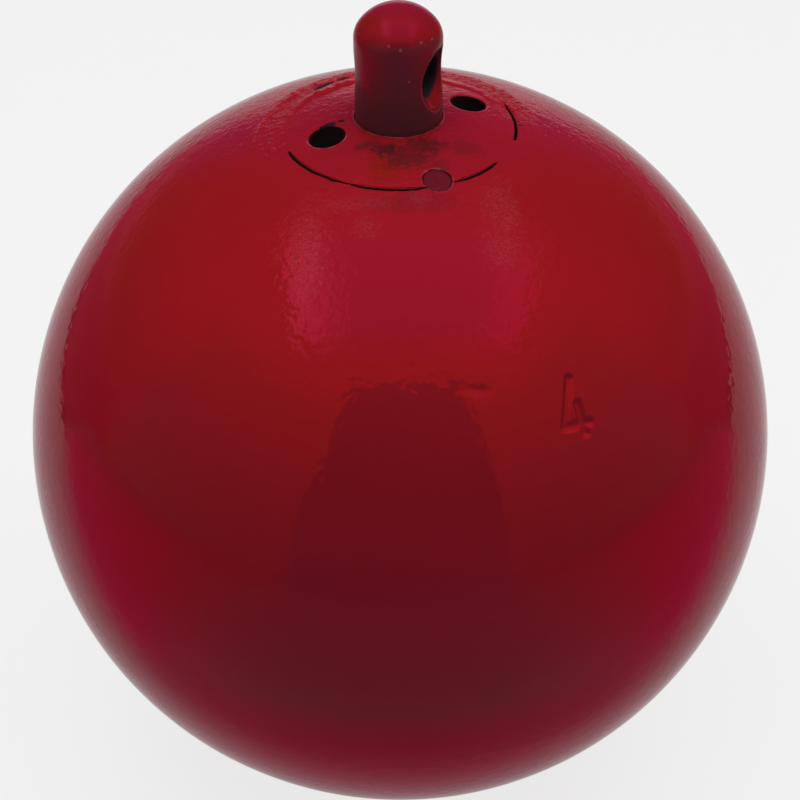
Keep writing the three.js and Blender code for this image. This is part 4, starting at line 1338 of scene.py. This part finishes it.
def make_table(low):
    """Cards for the gloss beside the table that the ball stands on, along its dark edges and before it."""
    beside_table = glowing_material("beside_table", room_colour, fades=True)
    for name, side, border in (("left", -FLOOR_REACH, TABLE_LEFT), ("right", FLOOR_REACH, TABLE_RIGHT)):
        corners = [*border, (side, TABLE_BACK), (side, TABLE_FRONT)]
        gloss_card(flat_card(name + "_of_table", corners, low + BESIDE_TABLE_LIFT), beside_table)
    edge_glow = glowing_material("table_edge_glow", lambda place: TABLE_EDGE_COLOUR, fades=True)
    for border in (TABLE_LEFT, TABLE_RIGHT):
        outside = [(x * TABLE_EDGE_WIDTH, y) for x, y in reversed(border)]
        gloss_card(flat_card("table_edge", [*border, *outside], low + TABLE_EDGE_LIFT), edge_glow)
    front = flat_card("front_mat", rectangle(MAT_LOW, MAT_HIGH), low + MAT_LIFT)
    gloss_card(front, make_mat_material())
    front.visible_diffuse = True


def make_front_card(low):
    """Dark card for the gloss before the ball, with uneven sides and a bowed top."""
    dark = glowing_material("dark_glow", front_card_colour)
    row = np.linspace(low, FRONT_CARD_TOP, FRONT_CARD_ROWS)
    left, right = (np.radians(np.interp(row, FRONT_CARD_HEIGHTS, edge))[:, None]
                   for edge in (FRONT_CARD_LEFT, FRONT_CARD_RIGHT))
    across = np.linspace(0, 1, FRONT_CARD_COLUMNS)
    top = FRONT_CARD_TOP - FRONT_CARD_TOP_BOW * (2 * across - 1) ** 2
    azimuth = left + (right - left) * across
    gloss_card(upright_card("front_card", azimuth, low, top, FRONT_CARD_DISTANCE), dark)


def make_mat_material():
    """Floor before the ball: painted shadow seen by the matt paint, and painted red bounce seen in the gloss.

    The share of painted shadow is the product of two smooth steps, with the distance from the ball and with
    y. In the gloss the colour goes with the cosine of the angle from straight ahead, with the ball's painted
    red bounce near the ball and at its sides.
    """
    material = bpy.data.materials.new("front_mat")
    tree = new_tree(material)
    place = own_place(tree)
    back = place.parts()[1]
    away = place.vector("MULTIPLY", {1: (1, 1, 0)}).length()
    ahead = (back * -1.0).math("DIVIDE", away)
    clear = shader(tree, "BsdfTransparent")
    # Painted shadow on the floor before the ball, seen only by the matt paint
    share = away.ramp(*MAT_DARK_REACH) * back.ramp(*MAT_DARK_START)
    matt = share.mix(clear, shader(tree, "BsdfDiffuse", {"Color": MAT_SHADOW_COLOUR}))
    # Painted red bounce of the ball's light near the ball and at its sides
    colour = ahead.ramp(*MAT_FRONT_BORDER).blend(FLOOR_SIDE_BOUNCE_COLOUR, FLOOR_FRONT_COLOUR)
    far = ahead.ramp(*MAT_FAR_FRONT_BORDER).blend(FLOOR_FAR_SIDE_COLOUR, FLOOR_FAR_FRONT_COLOUR)
    colour = away.ramp(*MAT_FAR_BORDER).blend(colour, far)
    colour = away.ramp(*MAT_NEAR_BORDER).blend(colour, FLOOR_NEAR_BOUNCE_COLOUR)
    glow = shader(tree, "Emission", {"Color": colour, "Strength": 1.0})
    gloss = (back - away * MAT_SIDE_SLOPE).ramp(*MAT_SIDE_BORDER).mix(clear, glow)
    glossy = Value(add_node(tree, "LightPath").outputs["Is Glossy Ray"])
    add_node(tree, "OutputMaterial", {0: glossy.mix(matt, gloss)})
    return material


def main():
    """Builds the camera, the materials, the finished pieces, the set and the light."""
    make_camera()
    make_group("paint_relief", paint_relief, {"Peel": 0.045, "Rub": 0.03, "Speck": 0.04}, ["Height"])
    make_group("paint_tone", paint_tone, {"Colour": PAINT_COLOUR, "Drift": 0.12, "Gloss": 0.08},
               ["Colour", "Roughness"])
    make_group("grime_and_shade", grime_and_shade, {"Smudges_And_Highlights": 0.3, "Film_And_Shade": 0.0}, ["Dirt", "Deep", "Worn", "Film_And_Shade", "Highlight_And_Dust"])
    make_group("metal_grain", metal_grain, {"Colour": (0.5, 0.5, 0.5, 1), "Rough": 0.3, "Lines": 0.002},
               ["Colour", "Roughness", "Height"])
    ball_paint = make_red_paint("ball_paint")
    cap_paint = make_red_paint("cap_paint", gloss=0.1, smudges_and_highlights=1.0)
    stud_paint = make_red_paint("stud_paint", gloss=0.1, peel=0.03, rub=0.01, smudges_and_highlights=1.0, film_and_shade=1.0,
                                colour=STUD_COLOUR)
    pin_paint = make_red_paint("pin_paint", gloss=0.3, rub=0.06, smudges_and_highlights=1.0, colour=PIN_COLOUR)
    steel = make_metal("bare_steel", (0.5, 0.5, 0.51, 1), 0.3)
    bearing_steel = make_metal("bearing_steel", (0.7, 0.71, 0.72, 1), 0.12, lines=0.0004)
    bronze = make_metal("bronze", (0.55, 0.33, 0.13, 1), 0.3)
    lead = make_metal("lead", (0.22, 0.23, 0.24, 1), 0.6, lines=0.0)

    ball = make_ball()
    cut(ball, [pin_drill()])
    cap = make_cap()
    cut(cap, spanner_drills() + [pin_drill()])
    seam = make_seam_paint()
    cut(seam, [pin_drill()])

    for piece, node, body, paint, slot in (
        (ball, "ball", "head", ball_paint, "red_paint"),
        (cap, "swivel_cap", "head", cap_paint, "red_paint"),
        (seam, None, "head", cap_paint, "red_paint"),
        (make_lock_pin(), "lock_pin", "head", pin_paint, "painted_pin"),
        (make_spindle(), "swivel_spindle", "spindle", stud_paint, "red_paint"),
    ):
        piece.data.materials.clear()
        piece.data.materials.append(paint)
        sharpen(piece)
        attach(piece, body)
        if node:
            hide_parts(node)

    for name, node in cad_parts.items():
        if name.startswith("bearing_ball") or name.endswith("_washer") and name != "backing_washer":
            material = bearing_steel
        elif name in ("cap_bush", "bearing_cage"):
            material = bronze
        elif name == "trim_weight":
            material = lead
        else:
            material = steel
        node.data.materials.clear()
        node.data.materials.append(material)

    make_room(-ball_radius)
    make_table(-ball_radius)
    make_front_card(-ball_radius)
    make_light()
    bpy.context.scene.view_settings.view_transform = "Standard"


main()
